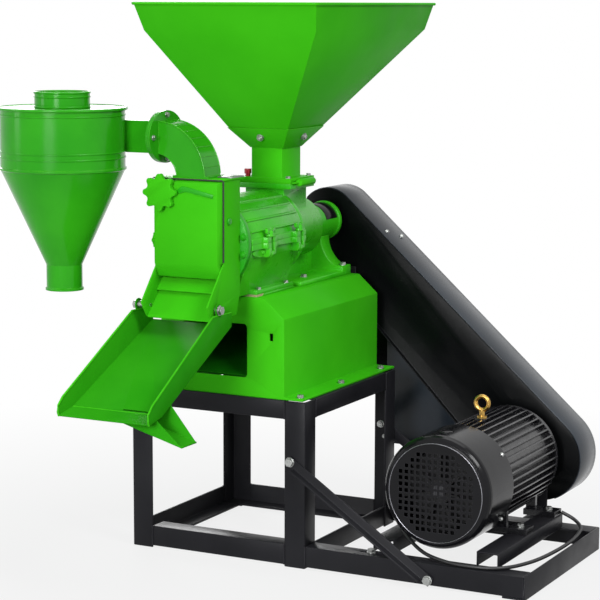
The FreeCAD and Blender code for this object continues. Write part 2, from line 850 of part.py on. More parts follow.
def milling_roller():
    y0, y1 = chamber_y0 + roller_end_gap, chamber_y1 - 4.0
    shapes = [rod("y", shaft_x, shaft_z, roller_radius, y0, y1)]
    for i in range(4):
        angle = math.radians(45.0 + 90.0 * i)
        bar = box(-5.0, 5.0, y0, y1, roller_radius - 4.0, roller_radius + roller_rib)
        bar.rotate(V(0, 0, 0), V(0, 1, 0), math.degrees(angle))
        bar.translate(V(shaft_x, 0, shaft_z))
        shapes.append(bar)
    return join(shapes).cut(rod("y", shaft_x, shaft_z, shaft_radius, y0 - 1.0, y1 + 1.0))


def feed_screw():
    y0, y1 = chamber_y1 + 2.0, barrel_y1 - barrel_wall - 6.0
    length = y1 - y0
    hub = rod("y", shaft_x, shaft_z, screw_hub, y0, y1)
    turns = (length - screw_flight - 2.0) / screw_pitch
    helix = Part.makeHelix(screw_pitch, turns * screw_pitch, screw_hub)
    root = screw_hub - 1.0
    profile = Part.makePolygon([V(root, 0, 0), V(screw_radius, 0, 1.0),
                                V(screw_radius, 0, screw_flight - 1.0), V(root, 0, screw_flight),
                                V(root, 0, 0)])
    flight = Part.Wire(helix.Edges).makePipeShell([profile], True, True)
    flight.rotate(V(0, 0, 0), V(1, 0, 0), -90)
    flight.translate(V(shaft_x, y0 + 1.0, shaft_z))
    body = hub.fuse(flight)
    return body.cut(rod("y", shaft_x, shaft_z, shaft_radius, y0 - 1.0, y1 + 1.0))


def fan_impeller():
    y0 = outlet_y0 + fan_set_back
    y1 = y0 + fan_width
    shapes = [rod("y", shaft_x, shaft_z, shaft_radius + 9.0, y0, y1),
              rod("y", shaft_x, shaft_z, fan_radius, y1 - 3.0, y1)]
    for i in range(fan_blades):
        blade = box(-1.5, 1.5, y0, y1, shaft_radius + 4.0, fan_radius)
        blade.rotate(V(0, 0, 0), V(0, 1, 0), 360.0 / fan_blades * i)
        blade.translate(V(shaft_x, 0, shaft_z))
        shapes.append(blade)
    return join(shapes).cut(rod("y", shaft_x, shaft_z, shaft_radius, y0 - 1.0, y1 + 1.0))


# Bearings and pedestal

def bearing(y):
    ring = tube("y", shaft_x, shaft_z, bearing_radius, bearing_radius - 5.0, y, y + bearing_width)
    inner = tube("y", shaft_x, shaft_z, bearing_inner, shaft_radius + running_gap, y,
                 y + bearing_width)
    shield = tube("y", shaft_x, shaft_z, bearing_radius - 5.0, bearing_inner, y + 2.0,
                  y + bearing_width - 2.0)
    return join([ring, inner, shield])


def front_bearing():
    return bearing(barrel_y1 + cover_thickness)


def rear_bearing():
    return bearing(tube_y1 - cover_thickness - bearing_width)


def bearing_housing():
    outer = rod("y", shaft_x, shaft_z, housing_tube_radius, barrel_y1, tube_y1)
    seat = bearing_width + cover_thickness
    body = outer.cut(rod("y", shaft_x, shaft_z, bearing_radius, barrel_y1, barrel_y1 + seat))
    body = body.cut(rod("y", shaft_x, shaft_z, bearing_radius, tube_y1 - seat, tube_y1))
    return body.cut(rod("y", shaft_x, shaft_z, bearing_radius - 5.0, barrel_y1, tube_y1))


def bearing_covers():
    covers = []
    for y in (barrel_y1, tube_y1 - cover_thickness):
        covers.append(tube("y", shaft_x, shaft_z, bearing_radius, shaft_radius + 3.0 * running_gap,
                           y, y + cover_thickness))
    return group(covers)


def pedestal():
    half = pedestal_base / 2.0
    neck = pedestal_neck / 2.0
    z0, z1 = housing_top + base_plate, shaft_z
    foot = z0 + pedestal_foot
    top = shaft_z - housing_tube_radius * 0.82
    bow = (top - foot) * 0.42
    flare = half - pedestal_ledge
    right = Part.Arc(V(shaft_x + flare, 0, foot),
                     V(shaft_x + neck + (flare - neck) * 0.30, 0, foot + bow),
                     V(shaft_x + neck, 0, top)).toShape()
    left = Part.Arc(V(shaft_x - neck, 0, top),
                    V(shaft_x - neck - (flare - neck) * 0.30, 0, foot + bow),
                    V(shaft_x - flare, 0, foot)).toShape()
    base = [V(shaft_x - flare, 0, foot), V(shaft_x - half, 0, foot), V(shaft_x - half, 0, z0),
            V(shaft_x + half, 0, z0), V(shaft_x + half, 0, foot), V(shaft_x + flare, 0, foot)]
    edges = [right, Part.makeLine(V(shaft_x + neck, 0, top), V(shaft_x + neck, 0, z1)),
             Part.makeLine(V(shaft_x + neck, 0, z1), V(shaft_x - neck, 0, z1)),
             Part.makeLine(V(shaft_x - neck, 0, z1), V(shaft_x - neck, 0, top)), left]
    edges += [Part.makeLine(p, q) for p, q in zip(base, base[1:])]
    face = Part.Face(Part.Wire(Part.__sortEdges__(edges)))
    y1 = housing_rear - pedestal_inset
    y0 = y1 - pedestal_depth
    body = face.extrude(V(0, y1 - y0, 0))
    body.translate(V(0, y0, 0))
    body = body.cut(rod("y", shaft_x, shaft_z, housing_tube_radius, y0 - 1.0, y1 + 1.0))
    plate = box(shaft_x - half, shaft_x + half, y1 - base_plate_length, y1, housing_top, z0)
    return join([body, plate])


# Belt drive

def groove_places():
    mid = (pulley_y0 + pulley_y1) / 2.0
    return [mid + (i - (belt_count - 1) / 2.0) * belt_pitch for i in range(belt_count)]


def pulley(x, z, radius, bore, hub):
    body = rod("y", x, z, radius, pulley_y0, pulley_y1)
    body = body.cut(rod("y", x, z, bore, pulley_y0 - 1.0, pulley_y1 + 1.0))
    for y in groove_places():
        half = belt_width / 2.0 + belt_gap
        body = body.cut(tube("y", x, z, radius + 1.0, radius - groove_depth, y - half, y + half))
    dish = tube("y", x, z, radius - groove_depth - 8.0, hub, pulley_y0 - 1.0, pulley_y0 + 15.0)
    return body.cut(dish)


def main_pulley():
    return pulley(shaft_x, shaft_z, pulley_radius, shaft_radius, shaft_radius + 9.0)


def motor_pulley():
    return pulley(motor_axis_x, motor_z, motor_pulley_radius, motor_shaft_radius,
                  motor_shaft_radius + 9.0)


def drive_belts():
    belts = []
    inner = groove_depth - belt_gap
    outer = inner - belt_depth
    for y in groove_places():
        y0, y1 = y - belt_width / 2.0, y + belt_width / 2.0
        loop = two_circle_solid(shaft_x, shaft_z, pulley_radius - outer, motor_axis_x, motor_z,
                                motor_pulley_radius - outer, y0, y1)
        hole = two_circle_solid(shaft_x, shaft_z, pulley_radius - inner, motor_axis_x, motor_z,
                                motor_pulley_radius - inner, y0, y1)
        belts.append(loop.cut(hole))
    return group(belts)


# Belt guard

def guard_solid(shrink, y0, y1):
    return two_circle_solid(shaft_x, shaft_z, guard_top_radius - shrink,
                            guard_end_x0, guard_end_z, guard_end_radius - shrink, y0, y1)


def guard_edge(reach, low):
    """The straight lower edge of the guard, drawn out by a reach at both ends."""
    dx, dz = guard_end_x0 - shaft_x, guard_end_z - shaft_z
    span = math.hypot(dx, dz)
    heading = math.atan2(dz, dx)
    down = heading - math.acos((guard_top_radius - guard_end_radius) / span)
    nx, nz = math.cos(down), math.sin(down)
    x0 = shaft_x + (guard_top_radius + low) * nx
    z0 = shaft_z + (guard_top_radius + low) * nz
    x1 = guard_end_x0 + (guard_end_radius + low) * nx
    z1 = guard_end_z + (guard_end_radius + low) * nz
    ux, uz = (x1 - x0) / math.hypot(x1 - x0, z1 - z0), (z1 - z0) / math.hypot(x1 - x0, z1 - z0)
    start = (x0 - ux * reach, z0 - uz * reach)
    end = (x1 + ux * reach, z1 + uz * reach)
    return start, end, (nx, nz)


def guard_shell():
    y0, y1 = guard_y0 + guard_sheet, guard_y1
    band = guard_solid(0.0, y0, y1).cut(guard_solid(guard_sheet, y0, y1 - guard_sheet))
    start, end, normal = guard_edge(300.0, -guard_top_radius * 0.9)
    far = 400.0
    below = prism("y", [start, end, (end[0] + normal[0] * far, end[1] + normal[1] * far),
                        (start[0] + normal[0] * far, start[1] + normal[1] * far)],
                  y0 - 1.0, y1 - guard_sheet)
    band = band.cut(below)
    start, end, normal = guard_edge(0.0, 0.0)
    inner_start, inner_end, _ = guard_edge(0.0, -guard_top_radius * 0.5)
    skirt_x0 = stand_right - guard_skirt_left
    skirt_x1 = motor_axis_x - guard_skirt_right
    skirt_z = skid_top + guard_skirt_low
    share = (skirt_x0 - start[0]) / (end[0] - start[0])
    left_z = start[1] + (end[1] - start[1]) * share
    skirt = prism("y", [inner_start, inner_end,
                        (end[0] - (end[0] - start[0]) * 0.12, end[1] - (end[1] - start[1]) * 0.12),
                        (skirt_x1, skirt_z), (skirt_x0, skirt_z), (skirt_x0, left_z)],
                  y1 - guard_sheet, y1)
    return join([band, skirt])


def guard_plate():
    body = guard_solid(guard_sheet, guard_y0, guard_y0 + guard_sheet)
    body = body.cut(rod("y", shaft_x, shaft_z, shaft_radius + 14.0, guard_y0 - 1.0,
                        guard_y0 + guard_sheet + 1.0))
    slot = two_circle_solid(motor_axis_x, motor_z, motor_shaft_radius + 14.1, motor_axis_x + 20.0,
                            motor_z, motor_shaft_radius + 14.0, guard_y0 - 1.0,
                            guard_y0 + guard_sheet + 1.0)
    body = body.cut(slot)
    start, end, normal = guard_edge(-6.0, -guard_sheet)
    inner_start, inner_end, _ = guard_edge(-6.0, -2.0 * guard_sheet)
    hem = prism("y", [start, end, inner_end, inner_start], guard_y0 - guard_hem, guard_y0)
    return join([body, hem])


def guard_brackets():
    """Two folded straps that carry the guard, from the housing and from the skid."""
    x = shaft_x + 56.0
    arm = 4.0
    foot_z = housing_top - 48.0
    upper = join([box(x - 20.0, x + 20.0, housing_rear, housing_rear + arm, foot_z - 30.0,
                      foot_z + 34.0),
                  box(x - 20.0, x + 20.0, housing_rear, guard_y0, foot_z + 30.0, foot_z + 34.0),
                  box(x - 20.0, x + 20.0, guard_y0 - arm, guard_y0, foot_z + 30.0,
                      housing_top + 10.0)])
    post_x = guard_end_x0 + 6.0
    post_z = guard_end_z - guard_end_radius * 0.5
    lower = join([box(post_x - 20.0, post_x + 20.0, stand_rear, stand_rear + arm,
                      skid_lift, skid_top),
                  box(post_x - 20.0, post_x + 20.0, stand_rear, guard_y0, skid_top - arm,
                      skid_top),
                  box(post_x - 20.0, post_x + 20.0, guard_y0 - arm, guard_y0, skid_top - arm,
                      post_z)])
    return group([upper, lower])


# Outlet

def outlet_box():
    s = outlet_sheet
    x0, x1 = outlet_x0, outlet_x1
    walls = []
    forward = outlet_y0
    side = [(forward, outlet_z1), (forward, outlet_z0 + 2.0), (forward - 68.0, pivot_z + 10.0),
            (forward - 46.0, pivot_z - 21.0), (forward + 54.0, pivot_z - 21.0),
            (head_y0, pivot_z + 26.0), (head_y0, outlet_z1)]
    for wall_x in (x0, x1 - s):
        panel = prism("x", side, wall_x, wall_x + s)
        panel = panel.cut(rod("x", pivot_y, pivot_z, pivot_radius(), wall_x - 1.0,
                              wall_x + s + 1.0))
        walls.append(panel)
    back = box(x0 + s, x1 - s, head_y0 - s, head_y0, pivot_z + 26.0, outlet_z1)
    back = back.cut(rod("y", shaft_x, shaft_z, head_bore, head_y0 - s - 1.0, head_y0 + 1.0))
    top = box(x0 - 3.0, x1 + 3.0, outlet_y0 - 8.0, chamber_y0, outlet_z1 - s, outlet_z1)
    top = top.cut(box(duct_x0 + duct_sheet, duct_x1 - duct_sheet, duct_y0 + duct_sheet,
                      duct_y1 - duct_sheet, outlet_z1 - s - 1.0, outlet_z1 + 1.0))
    body = join(walls + [back, top])
    knob_y, knob_z = side_knob_place()
    return body.cut(rod("x", knob_y, knob_z, side_screw_radius() + running_gap,
                        x0 - 1.0, x0 + s + 1.0))


def pivot_radius():
    return 4.0


def side_screw_radius():
    return 4.0


def side_knob_place():
    return outlet_y0 + 28.0, shaft_z + 8.0


def star_place():
    return shaft_x + star_offset[0], shaft_z + star_offset[1]


def outlet_cover():
    """A shallow pan with bevelled edges, which closes the front of the outlet box."""
    y1 = outlet_y0
    y0 = y1 - cover_depth
    x0, x1 = outlet_x0, outlet_x1
    z0, z1 = outlet_z0 - cover_drop, outlet_z1 - outlet_sheet - 0.5

    def pan(grow, back, front):
        far = [V(x0 - grow, back, z0 - grow), V(x1 + grow, back, z0 - grow),
               V(x1 + grow, back, z1 + grow), V(x0 - grow, back, z1 + grow)]
        b = cover_bevel - grow
        near = [V(x0 + b, front, z0 + cover_drop - grow), V(x1 - b, front, z0 + cover_drop - grow),
                V(x1 - b, front, z1 - b), V(x0 + b, front, z1 - b)]
        wires = [Part.makePolygon(w + w[:1]) for w in (far, near)]
        return Part.makeLoft(wires, True, True)

    body = pan(0.0, y1, y0).cut(pan(-outlet_sheet, y1 + 0.01, y0 + outlet_sheet))
    sx, sz = star_place()
    body = body.cut(rod("y", sx, sz, star_screw_radius() + running_gap, y0 - 1.0, y1 + 1.0))
    side_top = outlet_z0 + 3.0
    for near, far in ((x0 - 1.0, x0 + outlet_sheet + 0.3), (x1 - outlet_sheet - 0.3, x1 + 1.0)):
        body = body.cut(box(near, far, y0 - 1.0, y1 + 1.0, z0 - 1.0, side_top))
    keep = box(x0 - 50.0, x1 + 50.0, y0 - 1.0, y1, z0 - 50.0, z1 + 50.0)
    return body.common(keep)


def star_screw_radius():
    return 5.0


def outlet_louvres():
    """Two stepped sheets under the cover, which throw the rice onto the chute."""
    x0, x1 = outlet_x0 + outlet_sheet, outlet_x1 - outlet_sheet
    y = outlet_y0
    z = outlet_z0 - cover_drop
    t = outlet_sheet
    sheets = []
    for (back, high), (front, low) in (louvre_top, louvre_low):
        line = [(y + back, z + high), (y + front, z + low), (y + front, z + low - t),
                (y + back + louvre_turn, z + high - t)]
        sheets.append(prism("x", line, x0, x1))
    return group(sheets)


def damper_plate():
    sx, sz = star_place()
    y0 = outlet_y0 + 4.0
    body = box(sx - 20.0, sx + 20.0, y0, y0 + 4.0, sz - 24.0, sz + 22.0)
    body = body.fuse(rod("y", sx, sz, 9.0, y0, y0 + 12.0))
    return body.cut(rod("y", sx, sz, star_screw_radius() + running_gap, y0 - 1.0, y0 + 13.0))


def star_knob():
    sx, sz = star_place()
    face = outlet_y0 - cover_depth
    y0 = face - 4.0 - star_thickness
    disc = rod("y", sx, sz, star_radius * 0.86, y0, y0 + star_thickness)
    shapes = [disc]
    for i in range(star_lobes):
        angle = 2.0 * math.pi * i / star_lobes
        reach = star_radius * 0.83
        shapes.append(rod("y", sx + reach * math.cos(angle), sz + reach * math.sin(angle),
                          star_radius * 0.17, y0, y0 + star_thickness))
    for i in range(star_lobes):
        angle = 2.0 * math.pi * (i + 0.5) / star_lobes
        reach = star_radius * 0.97
        shapes[0] = shapes[0].cut(rod("y", sx + reach * math.cos(angle),
                                      sz + reach * math.sin(angle), star_radius * 0.20,
                                      y0 - 1.0, y0 + star_thickness + 1.0))
    shapes.append(rod("y", sx, sz, 12.0, y0 + star_thickness, face - 0.3))
    shapes.append(rod("y", sx, sz, star_screw_radius(), y0, outlet_y0 + 36.0))
    return join(shapes)


def side_knob():
    y, z = side_knob_place()
    x0 = outlet_x0
    shapes = [rod("x", y, z, 9.0, x0 - 8.0, x0 - 0.3), rod("x", y, z, 15.0, x0 - 20.0, x0 - 8.0),
              rod("x", y, z, side_screw_radius(), x0 - 8.0, x0 + outlet_sheet + 12.0)]
    for i in range(6):
        angle = math.pi * i / 3.0
        shapes.append(rod("x", y + 14.0 * math.cos(angle), z + 14.0 * math.sin(angle), 4.0,
                          x0 - 20.0, x0 - 8.0))
    return join(shapes)


# Chute

def tilted(shape):
    """Turn a shape drawn with +Y down the chute and +Z off its floor into its place."""
    shape.rotate(V(0, 0, 0), V(0, 0, 1), 180)
    shape.rotate(V(0, 0, 0), V(1, 0, 0), chute_slope)
    shape.translate(V(shaft_x, pivot_y, pivot_z))
    return shape


def chute_reach(side, along):
    """Distance from the mill's middle to the outside of a chute wall."""
    share = (along + chute_tail) / (chute_length + chute_tail)
    if side < 0:
        return outlet_width / 2.0 + chute_gap_left + chute_splay_left * share
    return outlet_width / 2.0 + chute_gap_right + chute_splay_right * share


def chute_strip(along0, along1, inset_by):
    """The plan of the chute between two distances down its floor, drawn with +X to the left."""
    corners = [(-chute_reach(1.0, along0) + inset_by, along0),
               (chute_reach(-1.0, along0) - inset_by, along0),
               (chute_reach(-1.0, along1) - inset_by, along1),
               (-chute_reach(1.0, along1) + inset_by, along1)]
    return prism("z", corners, -2.0 * chute_floor_drop, chute_floor_drop)


def chute_floor_line():
    """The floor's underside from its tail to the bend, and the flatter lip, off the pivot."""
    bend = chute_length - lip_length
    return [(-chute_tail + chute_sheet * 5.0, -chute_floor_drop), (bend, -chute_floor_drop),
            (chute_length, -chute_floor_drop + lip_rise)]


def chute_tray():
    tail, bend, front = chute_floor_line()
    lift = chute_sheet
    sheet = [tail, bend, front, (front[0], front[1] + lift), (bend[0], bend[1] + lift),
             (tail[0], tail[1] + lift)]
    x_far = chute_reach(-1.0, chute_length) + 1.0
    floor = prism("x", sheet, -x_far, x_far).common(
        chute_strip(-chute_tail, chute_length, 0.1))
    low = -chute_floor_drop
    crown = low + chute_wall_peak
    side_line = [(-chute_tail, low + chute_wall_rear), (0.6 * chute_tail, crown),
                 (chute_length - 28.0, low + chute_wall_front),
                 (chute_length - 8.0, low + chute_wall_front * 0.83),
                 (chute_length, low + chute_wall_front * 0.55), front, bend, tail]
    ear = join([rod("x", 0.0, 0.0, chute_ear, -x_far, x_far),
                box(-x_far, x_far, -chute_ear, chute_ear, low / 2.0, 0.0)])
    sides = join([prism("x", side_line, -x_far, x_far), ear])
    both = chute_strip(-chute_tail, chute_length, 0.0).cut(
        chute_strip(-chute_tail - 1.0, chute_length + 1.0, chute_sheet))
    body = join([floor, sides.common(both)])
    slot_end = bend[0] - spout_slot
    slot = chute_strip(slot_end - spout_slot, slot_end, 22.0).common(
        box(-x_far, -spout_slot, 0.0, chute_length, low - 1.0, low + lift + 1.0))
    body = body.cut(slot)
    body = body.cut(rod("x", 0.0, 0.0, pivot_radius() + running_gap, -x_far, x_far))
    return tilted(body)


def chute_pivots():
    """A bolt on each side, with a spacer where the chute wall stands off the box."""
    bolts = []
    for side in (-1.0, 1.0):
        inside = shaft_x + side * (outlet_width / 2.0 - outlet_sheet)
        plate = shaft_x + side * outlet_width / 2.0
        wall = shaft_x + side * chute_reach(side, 0.0)
        x0, x1 = sorted((inside, wall))
        pin = rod("x", pivot_y, pivot_z, pivot_radius(), x0 - 0.5, x1 + 0.5)
        head = bolt("x", pivot_y, pivot_z, wall + side * 0.5, side, bolt_size)
        x0, x1 = sorted((plate, wall - side * (chute_sheet + 0.5)))
        spacer = rod("x", pivot_y, pivot_z, pivot_radius() + 4.0, x0, x1)
        bolts.append(join([pin, head, spacer]))
    return group(bolts)


def tray_under_line():
    """The chute's underside from its tail to its lip, as places from front to back and up."""
    slope = math.radians(chute_slope)
    return [(pivot_y - along * math.cos(slope) - off * math.sin(slope),
             pivot_z - along * math.sin(slope) + off * math.cos(slope))
            for along, off in chute_floor_line()]


def tray_under_z(y):
    """The height of the chute's underside at a place from front to back."""
    points = tray_under_line()
    first, second = (points[0], points[1]) if y > points[1][0] else (points[1], points[2])
    share = (y - first[0]) / (second[0] - first[0])
    return first[1] + share * (second[1] - first[1])


def broken_rice_spout():
    """The cross channel under the chute, open at the top where the floor's slot is."""
    s = chute_sheet
    slope = math.radians(chute_slope)
    lip_y = pivot_y - chute_length * math.cos(slope) + chute_floor_drop * math.sin(slope)
    y0 = lip_y + spout_setback - s * 2.0
    y1 = y0 + spout_width
    left = shaft_x + 1.0
    right = shaft_x + chute_reach(1.0, chute_length - lip_length) - s
    tip_x = right + spout_reach
    front_top = tray_under_z(y0) - 0.2
    left_z = front_top - 8.0
    tip_z = left_z - (tip_x - left) * math.tan(math.radians(spout_slope))
    rear_top = tray_under_z(y1 - s) - 0.2
    front = prism("y", [(left, left_z), (left, front_top), (right, front_top), (tip_x, tip_z)],
                  y0, y0 + s)
    rear = prism("y", [(left, left_z), (left, rear_top), (right, rear_top), (tip_x, tip_z)],
                 y1 - s, y1)
    floor = prism("y", [(left, left_z), (tip_x, tip_z), (tip_x, tip_z + s), (left, left_z + s)],
                  y0, y1)
    bend_y, bend_z = tray_under_line()[1]
    end = prism("x", [(y0, left_z), (y0, front_top), (bend_y, bend_z - 0.2),
                      (y1 - s, rear_top), (y1, rear_top), (y1, left_z)], left, left + s)
    return join([front, rear, floor, end])


# Duct and cyclone

def quarter_bend(inner_radius, outer_radius, y0, y1):
    outer = rod("y", elbow_x, elbow_z, outer_radius, y0, y1)
    ring = outer.cut(rod("y", elbow_x, elbow_z, inner_radius, y0 - 1.0, y1 + 1.0))
    return ring.common(box(elbow_x, elbow_x + outer_radius + 1.0, y0, y1, elbow_z,
                           elbow_z + outer_radius + 1.0))


def oval_flange(x0, x1):
    y = (duct_y0 + duct_y1) / 2.0
    z = (duct_z0 + duct_z1) / 2.0
    half_y, half_z = duct_flange_half
    oval = Part.Ellipse(V(x0, y + half_y, z), V(x0, y, z + half_z), V(x0, y, z)).toShape()
    plate = Part.Face(Part.Wire([oval])).extrude(V(x1 - x0, 0, 0))
    return plate


def elbow_duct():
    s = duct_sheet
    body = quarter_bend(elbow_inner_radius, elbow_outer_radius, duct_y0, duct_y1)
    foot = box(duct_x0 - 9.0, duct_x1 + 9.0, duct_y0, duct_y1, elbow_z, elbow_z + 4.0)
    body = join([body, foot, oval_flange(elbow_x, elbow_x + duct_flange)])
    hollow = quarter_bend(elbow_inner_radius + s, elbow_outer_radius - s, duct_y0 + s,
                          duct_y1 - s)
    return body.cut(hollow)


def cyclone_inlet():
    s = duct_sheet
    duct = box(cyclone_x, inlet_x1, duct_y0, duct_y1, duct_z0, duct_z1)
    body = duct.fuse(oval_flange(inlet_x1, elbow_x))
    body = body.cut(box(cyclone_x - 1.0, elbow_x + 1.0, duct_y0 + s, duct_y1 - s, duct_z0 + s,
                        duct_z1 - s))
    return body.cut(rod("z", cyclone_x, cyclone_y, cyclone_radius, duct_z0 - 50.0,
                        duct_z1 + 50.0))


def turned(profile):
    corners = [V(cyclone_x + radius, cyclone_y, z) for radius, z in profile]
    face = Part.Face(Part.makePolygon(corners + corners[:1]))
    return face.revolve(V(cyclone_x, cyclone_y, 0), V(0, 0, 1), 360)


def cyclone_levels():
    seam = cyclone_top - cyclone_cylinder
    foot = seam - cyclone_cone
    return seam, foot, foot - cyclone_spigot


def cyclone_body():
    seam, foot, end = cyclone_levels()
    r, s = cyclone_radius, cyclone_sheet
    tip = cyclone_spigot_radius
    bead = 2.5
    profile = [(r, cyclone_top), (r, seam + 3.0), (r + bead, seam + 2.0), (r + bead, seam - 2.0),
               (r - 1.0, seam - 4.0), (tip, foot), (tip, end + 6.0), (tip + bead, end + 4.0),
               (tip + bead, end), (tip - s, end), (tip - s, foot), (r - 1.0 - s, seam - 4.0),
               (r - s, seam), (r - s, cyclone_top)]
    body = turned(profile)
    mouth = box(cyclone_x, cyclone_x + 2.0 * r, duct_y0 + duct_sheet, duct_y1 - duct_sheet,
                duct_z0 + duct_sheet, duct_z1 - duct_sheet)
    return body.cut(mouth)


def cyclone_lid():
    s = cyclone_sheet
    r = cyclone_radius + cyclone_rim
    z = cyclone_top
    c = collar_radius
    profile = [(c - s, z + collar_height), (c, z + collar_height), (c, z + s), (r, z + s),
               (r, z), (c, z), (c, z - finder_depth), (c - s, z - finder_depth)]
    return turned(profile)


# Hopper

def hopper_levels():
    x, y = shaft_x, throat_y
    foot = (x, y, hopper_foot[0], hopper_foot[1], hopper_z0)
    fold = (x, y + hopper_shift, hopper_fold[0], hopper_fold[1], hopper_z0 + hopper_cone)
    mouth = (x, y + hopper_shift, hopper_mouth[0], hopper_mouth[1],
             hopper_z0 + hopper_cone + hopper_band)
    return foot, fold, mouth


def hopper():
    foot, fold, mouth = hopper_levels()
    cone = shell_frustum(foot, fold, hopper_sheet)
    band = shell_frustum(fold, mouth, hopper_sheet)
    x, y, width, depth, z = mouth
    lip = frustum((x, y, width + hopper_rim, depth + hopper_rim, z),
                  (x, y, width + hopper_rim, depth + hopper_rim, z + 3.0))
    lip = lip.cut(frustum((x, y, width - 2.0 * hopper_sheet, depth - 2.0 * hopper_sheet, z - 1.0),
                          (x, y, width - 2.0 * hopper_sheet, depth - 2.0 * hopper_sheet,
                           z + 4.0)))
    return join([cone, band, lip])


def hopper_throat():
    x, y = shaft_x, throat_y
    s = throat_sheet
    neck_top = seat_top + throat_rise
    wide = (x, y, hopper_foot[0] + 4.0, hopper_foot[1] + 4.0, hopper_z0)
    narrow = (x, y, throat_width + 6.0, throat_depth + 1.0, neck_top)
    cone = shell_frustum(narrow, wide, s + 1.0)
    low = (x, y, throat_width, throat_depth, throat_z0)
    neck = shell_frustum(low, (x, y, throat_width, throat_depth, neck_top), s)
    flange = box(x - seat_plate_width / 2.0, x + seat_plate_width / 2.0,
                 y - seat_plate_depth / 2.0, y + seat_plate_depth / 2.0,
                 throat_z0, throat_z0 + throat_flange)
    flange = flange.cut(box(x - throat_width / 2.0 + s, x + throat_width / 2.0 - s,
                            y - throat_depth / 2.0 + s, y + throat_depth / 2.0 - s,
                            throat_z0 - 1.0, throat_z0 + throat_flange + 1.0))
    rails = []
    for side in (-1.0, 1.0):
        y0, y1 = sorted((y + side * gate_half_depth(), y + side * seat_plate_depth / 2.0))
        rails.append(box(x - seat_plate_width / 2.0, x + seat_plate_width / 2.0, y0, y1,
                         seat_top, throat_z0))
    body = join([cone, neck, flange] + rails)
    kx, ky = red_knob_place()
    return body.cut(rod("z", kx, ky, 3.0 + running_gap, throat_z0 - 1.0,
                        throat_z0 + throat_flange + 1.0))


def gate_half_depth():
    return throat_depth / 2.0 + 5.0


def red_knob_place():
    middle = (throat_width + seat_plate_width) / 4.0
    return shaft_x - middle, throat_y - gate_half_depth() + 13.0


def slide_gate():
    x, y = shaft_x, throat_y
    half = gate_half_depth() - gate_clearance
    bar_x = x + seat_plate_width / 2.0 + gate_bar + 1.0
    plate = box(x - throat_width / 2.0 - 3.0, bar_x, y - half, y + half, gate_z0, gate_z1)
    bar = rod("y", bar_x, (gate_z0 + gate_z1) / 2.0, gate_bar, y - half * 0.7, y + half * 0.7)
    return join([plate, bar])


def gate_knob():
    x, y = red_knob_place()
    top = throat_z0 + throat_flange
    return join([rod("z", x, y, 3.0, throat_z0 + 0.4, top + 6.0),
                 rod("z", x, y, red_knob_radius, top + 6.0, top + 17.0),
                 rod("z", x, y, 5.5, top + 0.3, top + 6.0)])


def panel_bolts():
    """Bolts of the hopper throat, the duct flanges, the head, the casing foot and the pedestal."""
    bolts = []
    flange_top = throat_z0 + throat_flange
    for side in (-1.0, 1.0):
        for end in (-1.0, 1.0):
            if side < 0 and end < 0:
                continue
            bolts.append(bolt("z", shaft_x + side * (seat_plate_width / 2.0 - 10.0),
                              throat_y + end * (seat_plate_depth / 2.0 - 8.0), flange_top, 1.0,
                              6.0))
    mid_y = (duct_y0 + duct_y1) / 2.0
    mid_z = (duct_z0 + duct_z1) / 2.0
    half_y, half_z = duct_flange_half
    for dy, dz in ((0.0, half_z - 9.0), (0.0, 9.0 - half_z), (half_y - 16.0, 0.0),
                   (16.0 - half_y, 0.0)):
        bolts.append(bolt("x", mid_y + dy, mid_z + dz, inlet_x1, -1.0, 6.0))
        bolts.append(bolt("x", mid_y + dy, mid_z + dz, elbow_x + duct_flange, 1.0, 6.0))
    for degrees in (-12.0, 12.0, 168.0, 192.0):
        angle = math.radians(degrees)
        reach = head_radius - 9.0
        bolts.append(bolt("y", shaft_x + reach * math.cos(angle),
                          shaft_z + reach * math.sin(angle), head_y0, -1.0, 6.0))
    foot_top = housing_top + seal_thickness + foot_thickness
    for side in (-1.0, 1.0):
        for y in (mouth_y0() + 22.0, mouth_y1() - 22.0):
            bolts.append(bolt("z", shaft_x + side * (foot_width / 2.0 - 7.0), y, foot_top, 1.0,
                              6.0))
        bolts.append(bolt("z", shaft_x + side * (pedestal_base / 2.0 - 10.0),
                          housing_rear - pedestal_inset - pedestal_depth / 2.0,
                          housing_top + base_plate + pedestal_foot, 1.0, small_bolt))
        bolts.append(bolt("z", shaft_x + side * 52.0, throat_y + throat_depth * 0.4,
                          housing_top + base_plate, 1.0, small_bolt))
    return group(bolts)


# Motor

def motor_foot_places():
    return (cowl_y1 + foot_front_gap, frame_y1 - foot_rear_gap)


